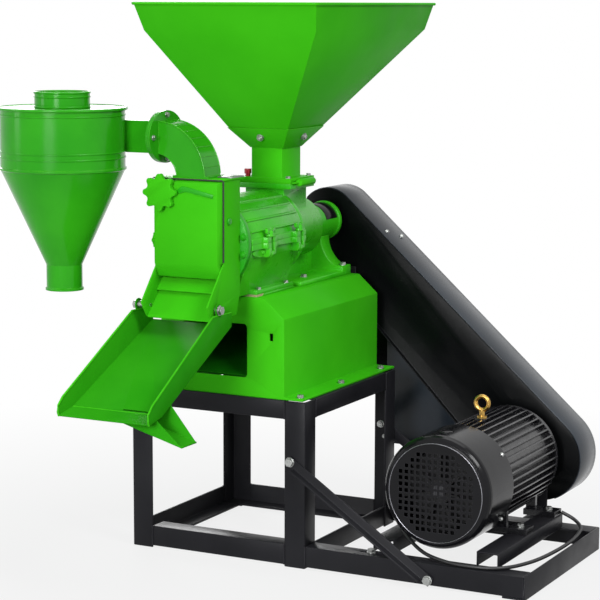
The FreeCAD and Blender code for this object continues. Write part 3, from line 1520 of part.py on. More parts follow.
def motor_body():
    """Finned frame with four feet, open right through for the stator."""
    points = []
    for i in range(fin_count):
        angle = 2.0 * math.pi * (i + 0.5) / fin_count
        low = fin_width / 2.0 / frame_root
        high = fin_width / 2.0 / frame_radius
        for radius, turn in ((frame_root, -low), (frame_radius, -high), (frame_radius, high),
                             (frame_root, low)):
            points.append((motor_axis_x + radius * math.cos(angle + turn),
                           motor_z + radius * math.sin(angle + turn)))
    body = prism("y", points, cowl_y1, frame_y1)
    feet = []
    for y in motor_foot_places():
        y0, y1 = y - foot_length / 2.0, y + foot_length / 2.0
        for side in (-1.0, 1.0):
            inner = motor_axis_x + side * (motor_spread / 2.0 - foot_inside)
            outer = motor_axis_x + side * (motor_spread / 2.0 + foot_outside)
            x0, x1 = sorted((inner, outer))
            feet.append(box(x0, x1, y0, y1, motor_rail_top, motor_rail_top + foot_height))
            near = motor_axis_x + side * (motor_spread / 2.0 - foot_web_inside)
            x0, x1 = sorted((inner, near))
            feet.append(box(x0, x1, y - foot_web / 2.0, y + foot_web / 2.0, motor_rail_top,
                            motor_z - foot_web_inside))
    half = eye_boss / 2.0
    boss = box(motor_axis_x - half, motor_axis_x + half, eyebolt_y() - half, eyebolt_y() + half,
               motor_z + frame_root - half / 2.0, motor_z + frame_radius + 1.0)
    body = join([body, boss] + feet)
    return body.cut(rod("y", motor_axis_x, motor_z, frame_bore, cowl_y1 - 1.0, frame_y1 + 1.0))


def eyebolt_y():
    return cowl_y1 + frame_length * 0.40


def eyebolt():
    z = motor_z + frame_radius + 1.0
    ring = Part.makeTorus(eye_radius, eye_wire, V(motor_axis_x, eyebolt_y(), z + eye_rise),
                          V(0, 1, 0))
    shank = rod("z", motor_axis_x, eyebolt_y(), 6.0, z, z + eye_rise - eye_radius)
    return join([ring, shank, rod("z", motor_axis_x, eyebolt_y(), 11.0, z, z + 5.0)])


def motor_shields():
    x, z = motor_axis_x, motor_z
    front = tube("y", x, z, cowl_radius - cowl_sheet, motor_shaft_radius + running_gap,
                 cowl_y1 - 9.0, cowl_y1)
    rear = revolve([(0.0, motor_shaft_radius + running_gap), (0.0, frame_radius - 3.0),
                    (10.0, frame_radius - 3.0), (16.0, frame_radius - 22.0),
                    (22.0, frame_radius - 52.0), (shield_length, frame_radius - 70.0),
                    (shield_length, motor_shaft_radius + running_gap)], x, z, frame_y1)
    return group([front, rear])


def motor_stator():
    return tube("y", motor_axis_x, motor_z, frame_bore, stator_bore, cowl_y1 + stator_front_gap,
                frame_y1 - stator_rear_gap)


def motor_rotor():
    core = rod("y", motor_axis_x, motor_z, stator_bore - rotor_gap, cowl_y1 + stator_front_gap,
               frame_y1 - stator_rear_gap)
    shaft = rod("y", motor_axis_x, motor_z, motor_shaft_radius, cowl_y0 + 18.0, motor_shaft_y1)
    return join([core, shaft])


def motor_fan():
    x, z = motor_axis_x, motor_z
    y0 = cowl_y0 + motor_fan_front
    y1 = y0 + motor_fan_width
    half = motor_fan_sheet * 0.4
    shapes = [rod("y", x, z, motor_fan_hub, y0, y1),
              rod("y", x, z, motor_fan_radius, y1 - motor_fan_sheet, y1)]
    for i in range(7):
        blade = box(-half, half, y0, y1, motor_fan_hub * 0.8, motor_fan_radius)
        blade.rotate(V(0, 0, 0), V(0, 1, 0), 360.0 / 7.0 * i)
        blade.translate(V(x, 0, z))
        shapes.append(blade)
    return join(shapes).cut(rod("y", x, z, motor_shaft_radius, y0 - 1.0, y1 + 1.0))


def fan_cowl():
    s = cowl_sheet
    r, ring = cowl_radius, cowl_ring_radius
    depth = r - ring
    outside = [(cowl_length, r), (depth * 1.1, r)]
    inside = [(cowl_length, r - s), (depth * 1.1, r - s)]
    for i in range(1, 6):
        turn = math.radians(18.0 * i)
        along = depth * 1.1 * (1.0 - math.sin(turn))
        outside.append((along, ring + depth * math.cos(turn)))
        inside.append((max(along, s), ring + (depth - s) * math.cos(turn) if i < 5 else ring))
    front = [(0.0, 0.01), (s, 0.01)]
    body = revolve(outside + front + inside[::-1], motor_axis_x, motor_z, cowl_y0)
    holes = []
    count = int(cowl_ring_radius / grille_pitch)
    half = grille_hole / 2.0
    for i in range(-count, count + 1):
        for j in range(-count, count + 1):
            dx, dz = i * grille_pitch, j * grille_pitch
            if math.hypot(dx, dz) < cowl_ring_radius - grille_pitch:
                holes.append(box(motor_axis_x + dx - half, motor_axis_x + dx + half,
                                 cowl_y0 - 1.0, cowl_y0 + s + 1.0,
                                 motor_z + dz - half, motor_z + dz + half))
    return body.cut(group(holes))


def terminal_box():
    x1 = motor_axis_x - frame_radius * 0.86
    x0 = motor_axis_x - frame_radius - terminal_reach
    y0 = terminal_y0
    y1 = y0 + terminal_length
    z0, z1 = motor_z - terminal_half_height, motor_z + terminal_half_height
    body = box(x0, x1, y0, y1, z0, z1)
    body = body.cut(rod("y", motor_axis_x, motor_z, frame_radius, y0 - 1.0, y1 + 1.0))
    over = terminal_lid / 2.0
    lid = box(x0 - terminal_lid, x0, y0 - over, y1 + over, z0 - over, z1 + over)
    start = cable_points()[0]
    nut_y = y0 - gland_length
    gland = join([rod("y", start[0], start[2], gland_radius, nut_y, y0),
                  rod("y", start[0], start[2], gland_radius * 0.7, start[1] + cable_gap, nut_y)])
    return group([join([body, lid]), gland])


def cable_points():
    """The cable's points, which keep their place to the motor behind its terminal box."""
    points = []
    for x, along, rise in cable_route:
        if along < cable_reach:
            y = stand_front + along * (terminal_y0 - stand_front) / cable_reach
        else:
            y = terminal_y0 + along - cable_reach
        points.append((motor_axis_x + x, y, skid_top + rise))
    return points


def cord_tube(points, radius):
    """Straight runs joined by arcs that touch both runs, swept with a round section."""
    knots = [V(*p) for p in points]
    edges = []
    cursor = knots[0]
    bends = []
    for before, here, after in zip(knots, knots[1:], knots[2:]):
        one = here - before
        two = after - here
        run = min(one.Length, two.Length)
        turn = one.getAngle(two)
        bend = 0.45 * run / math.tan(turn / 2.0)
        bends.append(bend)
        back = V(one).normalize() * (0.45 * run)
        ahead = V(two).normalize() * (0.45 * run)
        start, end = here - back, here + ahead
        middle = (start + end) * 0.5
        toward = (here - middle).normalize()
        half_chord = (end - start).Length / 2.0
        sag = bend - math.sqrt(max(bend * bend - half_chord * half_chord, 0.0))
        edges.append(Part.makeLine(cursor, start))
        edges.append(Part.Arc(start, middle + toward * sag, end).toShape())
        cursor = end
    edges.append(Part.makeLine(cursor, knots[-1]))
    path = Part.Wire(edges)
    first = (knots[1] - knots[0]).normalize()
    ring = Part.Wire([Part.makeCircle(radius, knots[0], first)])
    solid = path.makePipeShell([ring], True, False)
    print("cable radii", [round(b, 1) for b in bends])
    print("cable length", round(path.Length, 1), "volume ratio",
          round(solid.Volume / (math.pi * radius ** 2 * path.Length), 4))
    return solid


def supply_cable():
    return cord_tube(cable_points(), cable_radius)


nodes = {
    "front_legs": legs(stand_front, 1.0),
    "rear_legs": legs(stand_rear, -1.0),
    "top_frame": top_frame(),
    "base_skid": base_skid(),
    "motor_rails": motor_rails(),
    "diagonal_braces": diagonal_braces(),
    "frame_bolts": frame_bolts(),
    "base_housing": base_housing(),
    "base_deflector": base_deflector(),
    "lower_casing": lower_casing(),
    "upper_casing": upper_casing(),
    "feed_barrel": feed_barrel(),
    "bran_screen": bran_screen(),
    "rice_knife": rice_knife(),
    "casing_seal": casing_seal(),
    "discharge_head": discharge_head(),
    "front_clamp": clamp(ear_places()[0]),
    "rear_clamp": clamp(ear_places()[1]),
    "mill_shaft": mill_shaft(),
    "milling_roller": milling_roller(),
    "feed_screw": feed_screw(),
    "fan_impeller": fan_impeller(),
    "front_bearing": front_bearing(),
    "rear_bearing": rear_bearing(),
    "bearing_housing": bearing_housing(),
    "bearing_covers": bearing_covers(),
    "pedestal": pedestal(),
    "main_pulley": main_pulley(),
    "motor_pulley": motor_pulley(),
    "drive_belts": drive_belts(),
    "guard_shell": guard_shell(),
    "guard_plate": guard_plate(),
    "guard_brackets": guard_brackets(),
    "outlet_box": outlet_box(),
    "outlet_cover": outlet_cover(),
    "outlet_louvres": outlet_louvres(),
    "damper_plate": damper_plate(),
    "star_knob": star_knob(),
    "side_knob": side_knob(),
    "chute_tray": chute_tray(),
    "chute_pivots": chute_pivots(),
    "broken_rice_spout": broken_rice_spout(),
    "elbow_duct": elbow_duct(),
    "cyclone_inlet": cyclone_inlet(),
    "cyclone_body": cyclone_body(),
    "cyclone_lid": cyclone_lid(),
    "hopper": hopper(),
    "hopper_throat": hopper_throat(),
    "slide_gate": slide_gate(),
    "gate_knob": gate_knob(),
    "panel_bolts": panel_bolts(),
    "motor_body": motor_body(),
    "motor_shields": motor_shields(),
    "motor_stator": motor_stator(),
    "motor_rotor": motor_rotor(),
    "motor_fan": motor_fan(),
    "fan_cowl": fan_cowl(),
    "eyebolt": eyebolt(),
    "terminal_box": terminal_box(),
    "supply_cable": supply_cable(),
}

os.makedirs("parts", exist_ok=True)
for name, shape in nodes.items():
    if not shape.isValid():
        print("not valid:", name)
    shape.exportStep("parts/" + name + ".step")
print(len(nodes), "nodes")
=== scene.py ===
import json
import math

import bmesh
import bpy
from mathutils import Euler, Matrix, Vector

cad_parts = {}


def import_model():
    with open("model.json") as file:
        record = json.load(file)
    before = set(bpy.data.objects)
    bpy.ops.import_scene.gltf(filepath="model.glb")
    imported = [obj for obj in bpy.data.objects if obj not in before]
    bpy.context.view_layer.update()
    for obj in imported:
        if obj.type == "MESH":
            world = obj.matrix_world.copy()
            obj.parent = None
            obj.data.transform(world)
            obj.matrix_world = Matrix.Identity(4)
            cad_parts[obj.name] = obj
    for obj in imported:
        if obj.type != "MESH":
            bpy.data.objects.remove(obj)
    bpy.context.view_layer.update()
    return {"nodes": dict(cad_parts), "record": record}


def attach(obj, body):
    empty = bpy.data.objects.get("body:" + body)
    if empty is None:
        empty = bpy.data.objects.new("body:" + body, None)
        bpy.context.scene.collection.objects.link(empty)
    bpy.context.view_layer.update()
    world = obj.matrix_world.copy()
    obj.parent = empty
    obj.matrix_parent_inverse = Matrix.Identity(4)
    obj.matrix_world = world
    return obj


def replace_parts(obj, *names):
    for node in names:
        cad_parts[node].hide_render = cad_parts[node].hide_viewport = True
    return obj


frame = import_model()


def srgb(red, green, blue):
    """A colour read off a screen, from 0 to 255, as the linear values that a shader takes."""
    def linear(value):
        share = value / 255.0
        return share / 12.92 if share <= 0.04045 else ((share + 0.055) / 1.055) ** 2.4
    return (linear(red), linear(green), linear(blue), 1.0)


# Driving values of the looks

GREEN = srgb(60, 178, 22)
# A dark green that paints the shade inside the base housing.
GREEN_PAINTED_SHADE = srgb(16, 92, 8)
# Lighter colours on sharp edges: worn paint, and a painted edge highlight as well.
GREEN_WEAR_AND_GLINT = srgb(112, 214, 62)
BLACK = srgb(32, 32, 35)
BLACK_WEAR_AND_GLINT = srgb(80, 78, 84)
ZINC = srgb(176, 178, 176)
FELT = srgb(188, 172, 138)
KNOB_RED = srgb(196, 22, 44)
GOLD = srgb(196, 158, 84)
RUBBER = srgb(22, 22, 23)
IRON = srgb(92, 92, 96)

SHEET_BEVEL = 0.0008
PLATE_BEVEL = 0.0012
CAST_BEVEL = 0.0020
LEG_BEVEL = 0.0024
FINE_BEVEL = 0.0003
STRIP_BEVEL = 0.0005
STRAP_BEVEL = 0.0006
BEVEL_SEGMENTS = 2
MERGE = 2e-6
FLAT_ANGLE = 0.6
SHARP_ANGLE = 40.0
SMOOTH_ANGLE = 38.0

PAINT_EDGE = 0.0015
CAST_EDGE = 0.0024
METAL_EDGE = 0.0008
EDGE_SAMPLES = 4
EDGE_TURN = (0.80, 0.99)
METAL_GRAIN = 420.0
FINE_GRAIN = 2.2
SOFT_STRENGTH = 0.35
PAINT_COAT_ROUGH = 0.12
CAST_COAT_ROUGH = 0.20
CAST_ROUGH_SPREAD = (-0.10, 0.04)
DULL_SHARE = 0.62

CAMERA_PLACE = (1.9921, -3.8360, 1.2012)
CAMERA_TURN = 27.385
CAMERA_DIP = 8.307
CAMERA_ROLL = 0.19
CAMERA_LENS = 122.4
CAMERA_SENSOR = 36.0
CAMERA_REACH = 50.0

FLOOR_REACH = 14.0
FLOOR_HEIGHT = -0.0005
FLOOR_WHITE_NEAR = 0.82
FLOOR_FADE = (0.6, 1.9)
FLOOR_GREY = (0.36, 0.36, 0.36, 1.0)
SKY_COLOR = (0.93, 0.96, 1.0, 1.0)
SKY_LIGHT = 0.28

# Each lamp's name, place, the point it is aimed at, size and power
LAMPS = [
    ("key", (0.5, -5.4, 1.7), (0.0, 0.0, 0.6), (1.8, 1.8), 245.0),
    ("left", (-3.2, -2.2, 1.6), (-0.3, 0.0, 0.7), (0.8, 1.8), 24.0),
    ("right", (3.0, -1.3, 3.1), (0.1, 0.15, 0.5), (1.4, 1.4), 100.0),
    ("top", (0.2, 0.6, 3.8), (0.0, 0.0, 0.5), (2.2, 2.2), 36.0),
    ("back", (-2.8, 3.0, 2.2), (0.0, 0.0, 0.6), (1.6, 1.6), 95.0),
]

CABLE_DIAMETER = 0.008
CABLE_ORDER = 3
CABLE_STEPS = 12
CABLE_ROUNDING = 5
CABLE_ROUTE = [
    (0.2035, 0.1500, 0.1710), (0.2040, 0.1120, 0.1685), (0.2100, 0.0740, 0.1500),
    (0.2240, 0.0420, 0.1185), (0.2470, 0.0120, 0.0910), (0.2810, -0.0110, 0.0715),
    (0.3170, -0.0325, 0.0600), (0.3560, -0.0510, 0.0570), (0.3970, -0.0605, 0.0544),
    (0.4400, -0.0610, 0.0544), (0.4810, -0.0535, 0.0544), (0.5080, -0.0280, 0.0546),
    (0.5210, 0.0180, 0.0520), (0.5290, 0.0720, 0.0485), (0.5350, 0.1400, 0.0470),
    (0.5400, 0.2050, 0.0480), (0.5410, 0.2510, 0.0500), (0.5400, 0.2820, 0.0525),
    (0.5380, 0.3090, 0.0565), (0.5329, 0.3280, 0.0610), (0.5190, 0.3419, 0.0680),
    (0.5000, 0.3470, 0.0770), (0.4824, 0.3410, 0.0856),
]

# Places of the frame that the added details sit on

SHAFT_X = -0.1505
SHAFT_Z = 0.696
CYCLONE_X = -0.4225
CYCLONE_Y = -0.260
CYCLONE_RADIUS = 0.131
CYCLONE_TOP = 0.979
COLLAR_RADIUS = 0.058
COLLAR_TOP = 1.014
ELBOW_X = -0.232
ELBOW_Z = 0.840
ELBOW_RADIUS = 0.115
ELBOW_INNER = 0.048
ELBOW_FRONT = -0.195
ELBOW_BACK = -0.129
HEAD_FRONT = -0.128
BOX_RIGHT = -0.0705
BOX_LEFT = -0.2305
BOX_FRONT = -0.198
BOX_TOP = 0.840
COVER_FRONT = -0.217
FOOT_RIGHT = -0.0706
FELT_LOW = 0.5782
FELT_TOP = 0.5832
BASE_TOP = 0.5876
GUARD_FRONT = 0.5432
MOTOR_X = 0.3405
MOTOR_Z = 0.192
COWL_FRONT = -0.035
COWL_RADIUS = 0.121
COWL_FACE_RADIUS = 0.105
STAND_LEFT = -0.3755
STAND_RIGHT = 0.0545
STAND_FRONT = -0.070
STAND_REAR = 0.385
STAND_TOP = 0.363
LEG = 0.050
SHEET = 0.005
PIVOT_Y = -0.230
PIVOT_Z = 0.573
CHUTE_SLOPE = 24.2
HOPPER_Y = 0.242
HOPPER_HALF_X = 0.2235
HOPPER_HALF_Y = 0.3025
HOPPER_RIM_Z = 1.1975

# Sizes of the added details. A profile is a list of radii, each with its distance along the axis.

TURNED_SIDES = 96
SMALL_SIDES = 24
TUBE_SIDES = 8
NEARLY_UPRIGHT = 0.9
CYCLONE_BEADS = (0.967, 0.8906, 0.8784)
COLLAR_BEADS = (0.9835, 1.0045)
CYCLONE_BEAD = 0.0016
LID_BEAD = 0.0022
LID_OVERHANG = 0.0040
COLLAR_BEAD = 0.0018
BEAD_FROM_EDGE = 0.001
BEAD_STEPS = 6
BEAD_WIDTH = 1.4

OUTER_SEAM = 0.0014
INNER_SEAM = 0.0012
SEAM_STEPS = 36
SEAM_START = 3.0
SEAM_TURN = 86.0
SEAM_RIPPLE = 0.08
ELBOW_FOLDS = 8
FOLD_RIDGE = 0.0009

# Black strips round the outlet cover, drawn as a rubber seal: a painted shadow under the box's top
# plate and painted shade in the gaps beside the cover.
SHADOW_SEAL_THICKNESS = 0.0010
SHADOW_SEAL_OUT = 0.003
SHADOW_SEAL_AHEAD = 0.008
SHADOW_SEAL_FROM_TOP = 0.0004
SHADOW_SEAL_LAP_FRONT = 0.0035
SHADOW_SEAL_LAP_BACK = 0.0015
SHADOW_SEAL_FOOT = 0.668
STRAP = [
    (-0.1775, 0.8115), (-0.1565, 0.8245), (-0.1320, 0.8205), (-0.0840, 0.8095),
    (-0.0840, 0.8015), (-0.1490, 0.8130), (-0.1720, 0.8065),
]
STRAP_SUNK = 0.0005
STRAP_THICKNESS = 0.0022
TOP_STRIP_X = (-0.1030, -0.0690)
TOP_STRIP_Y = (-0.166, -0.113)
TOP_STRIP_THICKNESS = 0.0030
SIDE_BOSS = (-0.1769, 0.7518)
SIDE_BOSS_PROFILE = [
    (0.0001, -0.001), (0.0075, -0.001), (0.0075, 0.0028), (0.0060, 0.0045), (0.0001, 0.0052),
]

CHUTE_START = -0.047
CHUTE_LENGTH = 0.395
CHUTE_HALF = 0.080
CHUTE_LEFT = (0.028, 0.003)
CHUTE_RIGHT = (0.005, 0.016)
CHUTE_TOP_LINE = [
    (-0.0460, -0.0340), (0.0282, 0.0007), (0.1200, -0.0060), (0.2200, -0.0133),
    (0.3200, -0.0203), (0.3400, -0.0271), (0.3475, -0.0380), (0.3475, -0.0480),
]
CHUTE_HEM = 0.0021
CHUTE_HALF_WALL = 0.00125
CHUTE_BEND = 0.298
CHUTE_FLOOR = -0.0578
CHUTE_BEND_RIDGE = 0.0010
CHUTE_BEND_INSET = 0.003

END_RING_Y = 0.4140
END_RING_PROFILE = [
    (0.0415, 0.0), (0.0450, 0.001), (0.0455, 0.006), (0.0450, 0.011), (0.0415, 0.012),
]
BARE_PLATE_Y = (0.352, 0.408)
BARE_PLATE_OUTER = 0.0432
BARE_PLATE_INNER = 0.0418
BARE_PLATE_START = 12.0
BARE_PLATE_STEP = 6.0
BARE_PLATE_STEPS = 14
POCKET = (-0.0580, -0.0620, 0.6765)
POCKET_HALF_LENGTH = 0.038
POCKET_HALF_HEIGHT = 0.0115
POCKET_STEPS = [
    (0.0, 1.0), (0.0035, 0.97), (0.0048, 0.88), (0.0048, 0.70), (0.0036, 0.66), (0.0036, 0.01),
]
POCKET_SIDES = 28
POCKET_BOSS = (0.003, 0.006, 0.0)
POCKET_BOSS_SIDES = 20
POCKET_BOSS_PROFILE = [
    (0.0001, 0.0), (0.0056, 0.0), (0.0050, 0.0038), (0.0030, 0.0052), (0.0001, 0.0056),
]
LIP_THICKNESS = 0.0013
LIP_OUTLINE = [(-0.030, FELT_LOW), (0.1130, FELT_LOW), (0.1130, FELT_TOP), (-0.022, FELT_TOP)]
WEB_HALF = 0.006
WEB_OUTLINE = [(0.200, BASE_TOP), (0.352, BASE_TOP), (0.352, 0.634), (0.267, 0.630), (0.200, 0.630)]

RIM_BAR = 0.0032
RIM_SIDES = 12
RIM_CORNER = 0.006
RIM_CORNER_STEPS = 4
THROAT_SCREW = 0.0085
THROAT_SCREWS = [
    ((-0.1530, 0.1139, 0.907), (0.0, -0.727, -0.687)),
    ((-0.0900, 0.1960, 0.907), (0.789, 0.0, -0.614)),
    ((-0.1530, 0.2501, 0.907), (0.0, 0.727, -0.687)),
    ((-0.2110, 0.1680, 0.907), (-0.789, 0.0, -0.614)),
]
HEAD_SCREW = 0.0078
HEAD_SCREW_ANGLES = (-12.0, 12.0, 168.0, 192.0)
HEAD_SCREW_REACH = 0.090

# Rings of a screw's washer, head and thread, each a radius and a rise as shares of its size
SCREW_WASHER = ((1.05, -0.18), (1.05, 0.126), (0.98, 0.18))
SCREW_HEAD = ((0.80, 0.18), (0.80, 0.68), (0.78, 0.80))
SCREW_THREAD = ((0.45, 0.80), (0.45, 0.95), (0.38, 1.02))
SCREW_SIDES = 12

WELD_BEAD = 0.0019
WELD_STEP = 0.0022
WELD_RIPPLE = 0.14
WELD_FEWEST = 4
LOW_RAIL = (0.005, 0.050)
TOP_RAIL = (STAND_TOP - 0.040, STAND_TOP)
CORNER_INSET = 0.0052
CORNER_LAP = 0.0015
CORNER_THICKNESS = 0.0040
LEG_SCREWS = [(0.0205, 0.232, 0.0085), (0.0300, 0.204, 0.0050)]
GUARD_UP = (0.66627, 0.0, 0.74571)
GUARD_SCREWS = [(-0.0095, 0.468, 0.6708), (0.0070, 0.516, 0.6561)]
GUARD_SCREW = 0.0052
SKIRT_CORNER = [(-0.036, 0.290), (-0.036, 0.450), (-0.074, 0.468), (-0.074, 0.328)]
SKIRT_THICKNESS = 0.0020

COWL_RING = 0.0011
COWL_RING_RISE = 0.0006
COWL_RING_COUNT = 120
COWL_SCREW = 0.0045
COWL_SCREW_Y = 0.086
COWL_SCREW_ANGLES = (35.0, 145.0, 215.0, 325.0)
PLUG_Y = 0.020
PLUG_SIDES = 32
PLUG_PROFILE = [
    (0.0001, -0.002), (0.0130, -0.002), (0.0130, 0.0008), (0.0118, 0.0016), (0.0001, 0.0018),
]

LEFT = Vector((-1.0, 0.0, 0.0))
RIGHT = Vector((1.0, 0.0, 0.0))
FORWARD = Vector((0.0, -1.0, 0.0))
BACK = Vector((0.0, 1.0, 0.0))
UP = Vector((0.0, 0.0, 1.0))


# Materials

def new_material(name):
    material = bpy.data.materials.new(name)
    material.use_nodes = True
    tree = material.node_tree
    tree.nodes.clear()
    output = tree.nodes.new("ShaderNodeOutputMaterial")
    shader = tree.nodes.new("ShaderNodeBsdfPrincipled")
    tree.links.new(shader.outputs["BSDF"], output.inputs["Surface"])
    return material, tree, shader


def noise(tree, scale, detail=3.0, stretch=None):
    place = tree.nodes.new("ShaderNodeTexCoord")
    texture = tree.nodes.new("ShaderNodeTexNoise")
    texture.inputs["Scale"].default_value = scale
    texture.inputs["Detail"].default_value = detail
    source = place.outputs["Object"]
    if stretch:
        mapping = tree.nodes.new("ShaderNodeMapping")
        mapping.inputs["Scale"].default_value = stretch
        tree.links.new(source, mapping.inputs["Vector"])
        source = mapping.outputs["Vector"]
    tree.links.new(source, texture.inputs["Vector"])
    return texture.outputs["Fac"]


def ramp(tree, value, stops):
    node = tree.nodes.new("ShaderNodeValToRGB")
    points = node.color_ramp.elements
    points[0].position, points[0].color = stops[0]
    points[1].position, points[1].color = stops[-1]
    for position, color in stops[1:-1]:
        points.new(position).color = color
    tree.links.new(value, node.inputs["Fac"])
    return node.outputs["Color"]


def spread(tree, value, low, high, from_low=0.3, from_high=0.7):
    node = tree.nodes.new("ShaderNodeMapRange")
    node.inputs["From Min"].default_value = from_low
    node.inputs["From Max"].default_value = from_high
    node.inputs["To Min"].default_value = low
    node.inputs["To Max"].default_value = high
    tree.links.new(value, node.inputs["Value"])
    return node.outputs["Result"]


def blend_colors(tree, share, first, second):
    node = tree.nodes.new("ShaderNodeMix")
    node.data_type = "RGBA"
    tree.links.new(share, node.inputs["Factor"])
    for socket, color in (("A", first), ("B", second)):
        target = [i for i in node.inputs if i.name == socket and i.type == "RGBA"][0]
        if isinstance(color, tuple):
            target.default_value = color
        else:
            tree.links.new(color, target)
    return [o for o in node.outputs if o.type == "RGBA"][0]


def arithmetic(tree, kind, first, second):
    node = tree.nodes.new("ShaderNodeMath")
    node.operation = kind
    node.use_clamp = True
    for index, value in enumerate((first, second)):
        if isinstance(value, float):
            node.inputs[index].default_value = value
        else:
            tree.links.new(value, node.inputs[index])
    return node.outputs["Value"]


def bump(tree, height, distance, strength, below=None):
    node = tree.nodes.new("ShaderNodeBump")
    node.inputs["Distance"].default_value = distance
    node.inputs["Strength"].default_value = strength
    tree.links.new(height, node.inputs["Height"])
    if below:
        tree.links.new(below, node.inputs["Normal"])
    return node.outputs["Normal"]


def rounded_normal(tree, radius):
    """The normal that the surface would have with its sharp edges rounded."""
    node = tree.nodes.new("ShaderNodeBevel")
    node.samples = EDGE_SAMPLES
    node.inputs["Radius"].default_value = radius
    return node.outputs["Normal"]


def edge_share(tree, rounded):
    """How close a point is to a sharp edge, from the turn that a rounded edge gives the normal."""
    geometry = tree.nodes.new("ShaderNodeNewGeometry")
    product = tree.nodes.new("ShaderNodeVectorMath")
    product.operation = "DOT_PRODUCT"
    tree.links.new(rounded, product.inputs[0])
    tree.links.new(geometry.outputs["Normal"], product.inputs[1])
    return spread(tree, product.outputs["Value"], 1.0, 0.0, *EDGE_TURN)


def paint(name, color, shade, wear_and_glint, rough=(0.28, 0.40), coat=0.0, peel=0.5, gloss=0.015):
    """Gloss powder coat: faint mottling, orange peel and a lighter colour on the edges, for thinner
    paint and a painted edge highlight.
    """
    material, tree, shader = new_material(name)
    mottled = ramp(tree, noise(tree, scale=5.0, detail=5.0), [(0.30, shade), (0.62, color)])
    rounded = rounded_normal(tree, PAINT_EDGE)
    # Sharp edges take a lighter colour: worn paint and a painted edge highlight.
    rub = spread(tree, noise(tree, scale=60.0), low=0.1, high=0.75)
    wear_and_glint_share = arithmetic(tree, "MULTIPLY", edge_share(tree, rounded), rub)
    tree.links.new(blend_colors(tree, wear_and_glint_share, mottled, wear_and_glint), shader.inputs["Base Color"])
    tree.links.new(spread(tree, noise(tree, scale=14.0, detail=4.0), *rough),
                   shader.inputs["Roughness"])
    waves = bump(tree, noise(tree, scale=11.0, detail=2.0), distance=0.004, strength=0.16,
                 below=rounded)
    fine = bump(tree, noise(tree, scale=620.0, detail=2.0), distance=0.0006,
                strength=0.10 * peel, below=waves)
    tree.links.new(fine, shader.inputs["Normal"])
    shader.inputs["Coat Weight"].default_value = coat
    shader.inputs["Coat Roughness"].default_value = PAINT_COAT_ROUGH
    shader.inputs["Specular IOR Level"].default_value = gloss
    return material


def metal(name, color, rough=(0.26, 0.42), brushed=(1.0, 1.0, 1.0)):
    """Bare or plated metal with fine streaks along one direction."""
    material, tree, shader = new_material(name)
    dull = tuple(DULL_SHARE * channel for channel in color[:3]) + (1.0,)
    streaks = noise(tree, METAL_GRAIN, stretch=brushed)
    tree.links.new(ramp(tree, noise(tree, scale=30.0, detail=4.0), [(0.30, dull), (0.66, color)]),
                   shader.inputs["Base Color"])
    tree.links.new(spread(tree, streaks, *rough), shader.inputs["Roughness"])
    rounded = rounded_normal(tree, METAL_EDGE)
    scratched = bump(tree, streaks, distance=0.0004, strength=0.12, below=rounded)
    tree.links.new(scratched, shader.inputs["Normal"])
    shader.inputs["Metallic"].default_value = 1.0
    return material


def cast(name, color, shade, wear_and_glint, roughness=0.42, coat=0.2, gloss=0.3):
    """Painted casting: the sand surface shows through the paint as a soft grain."""
    material, tree, shader = new_material(name)
    mottled = ramp(tree, noise(tree, scale=9.0, detail=5.0), [(0.30, shade), (0.64, color)])
    rounded = rounded_normal(tree, CAST_EDGE)
    # Sharp edges take a lighter colour: worn paint and a painted edge highlight.
    rub = spread(tree, noise(tree, scale=70.0), low=0.05, high=0.6)
    wear_and_glint_share = arithmetic(tree, "MULTIPLY", edge_share(tree, rounded), rub)
    tree.links.new(blend_colors(tree, wear_and_glint_share, mottled, wear_and_glint), shader.inputs["Base Color"])
    low, high = (roughness + change for change in CAST_ROUGH_SPREAD)
    tree.links.new(spread(tree, noise(tree, scale=26.0, detail=4.0), low, high),
                   shader.inputs["Roughness"])
    sand = bump(tree, noise(tree, scale=260.0, detail=4.0), distance=0.0014, strength=0.22,
                below=rounded)
    uneven = bump(tree, noise(tree, scale=34.0), distance=0.004, strength=0.18, below=sand)
    tree.links.new(uneven, shader.inputs["Normal"])
    shader.inputs["Coat Weight"].default_value = coat
    shader.inputs["Coat Roughness"].default_value = CAST_COAT_ROUGH
    shader.inputs["Specular IOR Level"].default_value = gloss
    return material


def soft(name, color, shade, roughness, grain, depth):
    """Felt, rubber or plastic with its own grain."""
    material, tree, shader = new_material(name)
    tree.links.new(ramp(tree, noise(tree, grain, 5.0), [(0.28, shade), (0.68, color)]),
                   shader.inputs["Base Color"])
    fine = noise(tree, scale=FINE_GRAIN * grain, detail=4.0)
    tree.links.new(bump(tree, fine, depth, SOFT_STRENGTH), shader.inputs["Normal"])
    shader.inputs["Roughness"].default_value = roughness
    return material


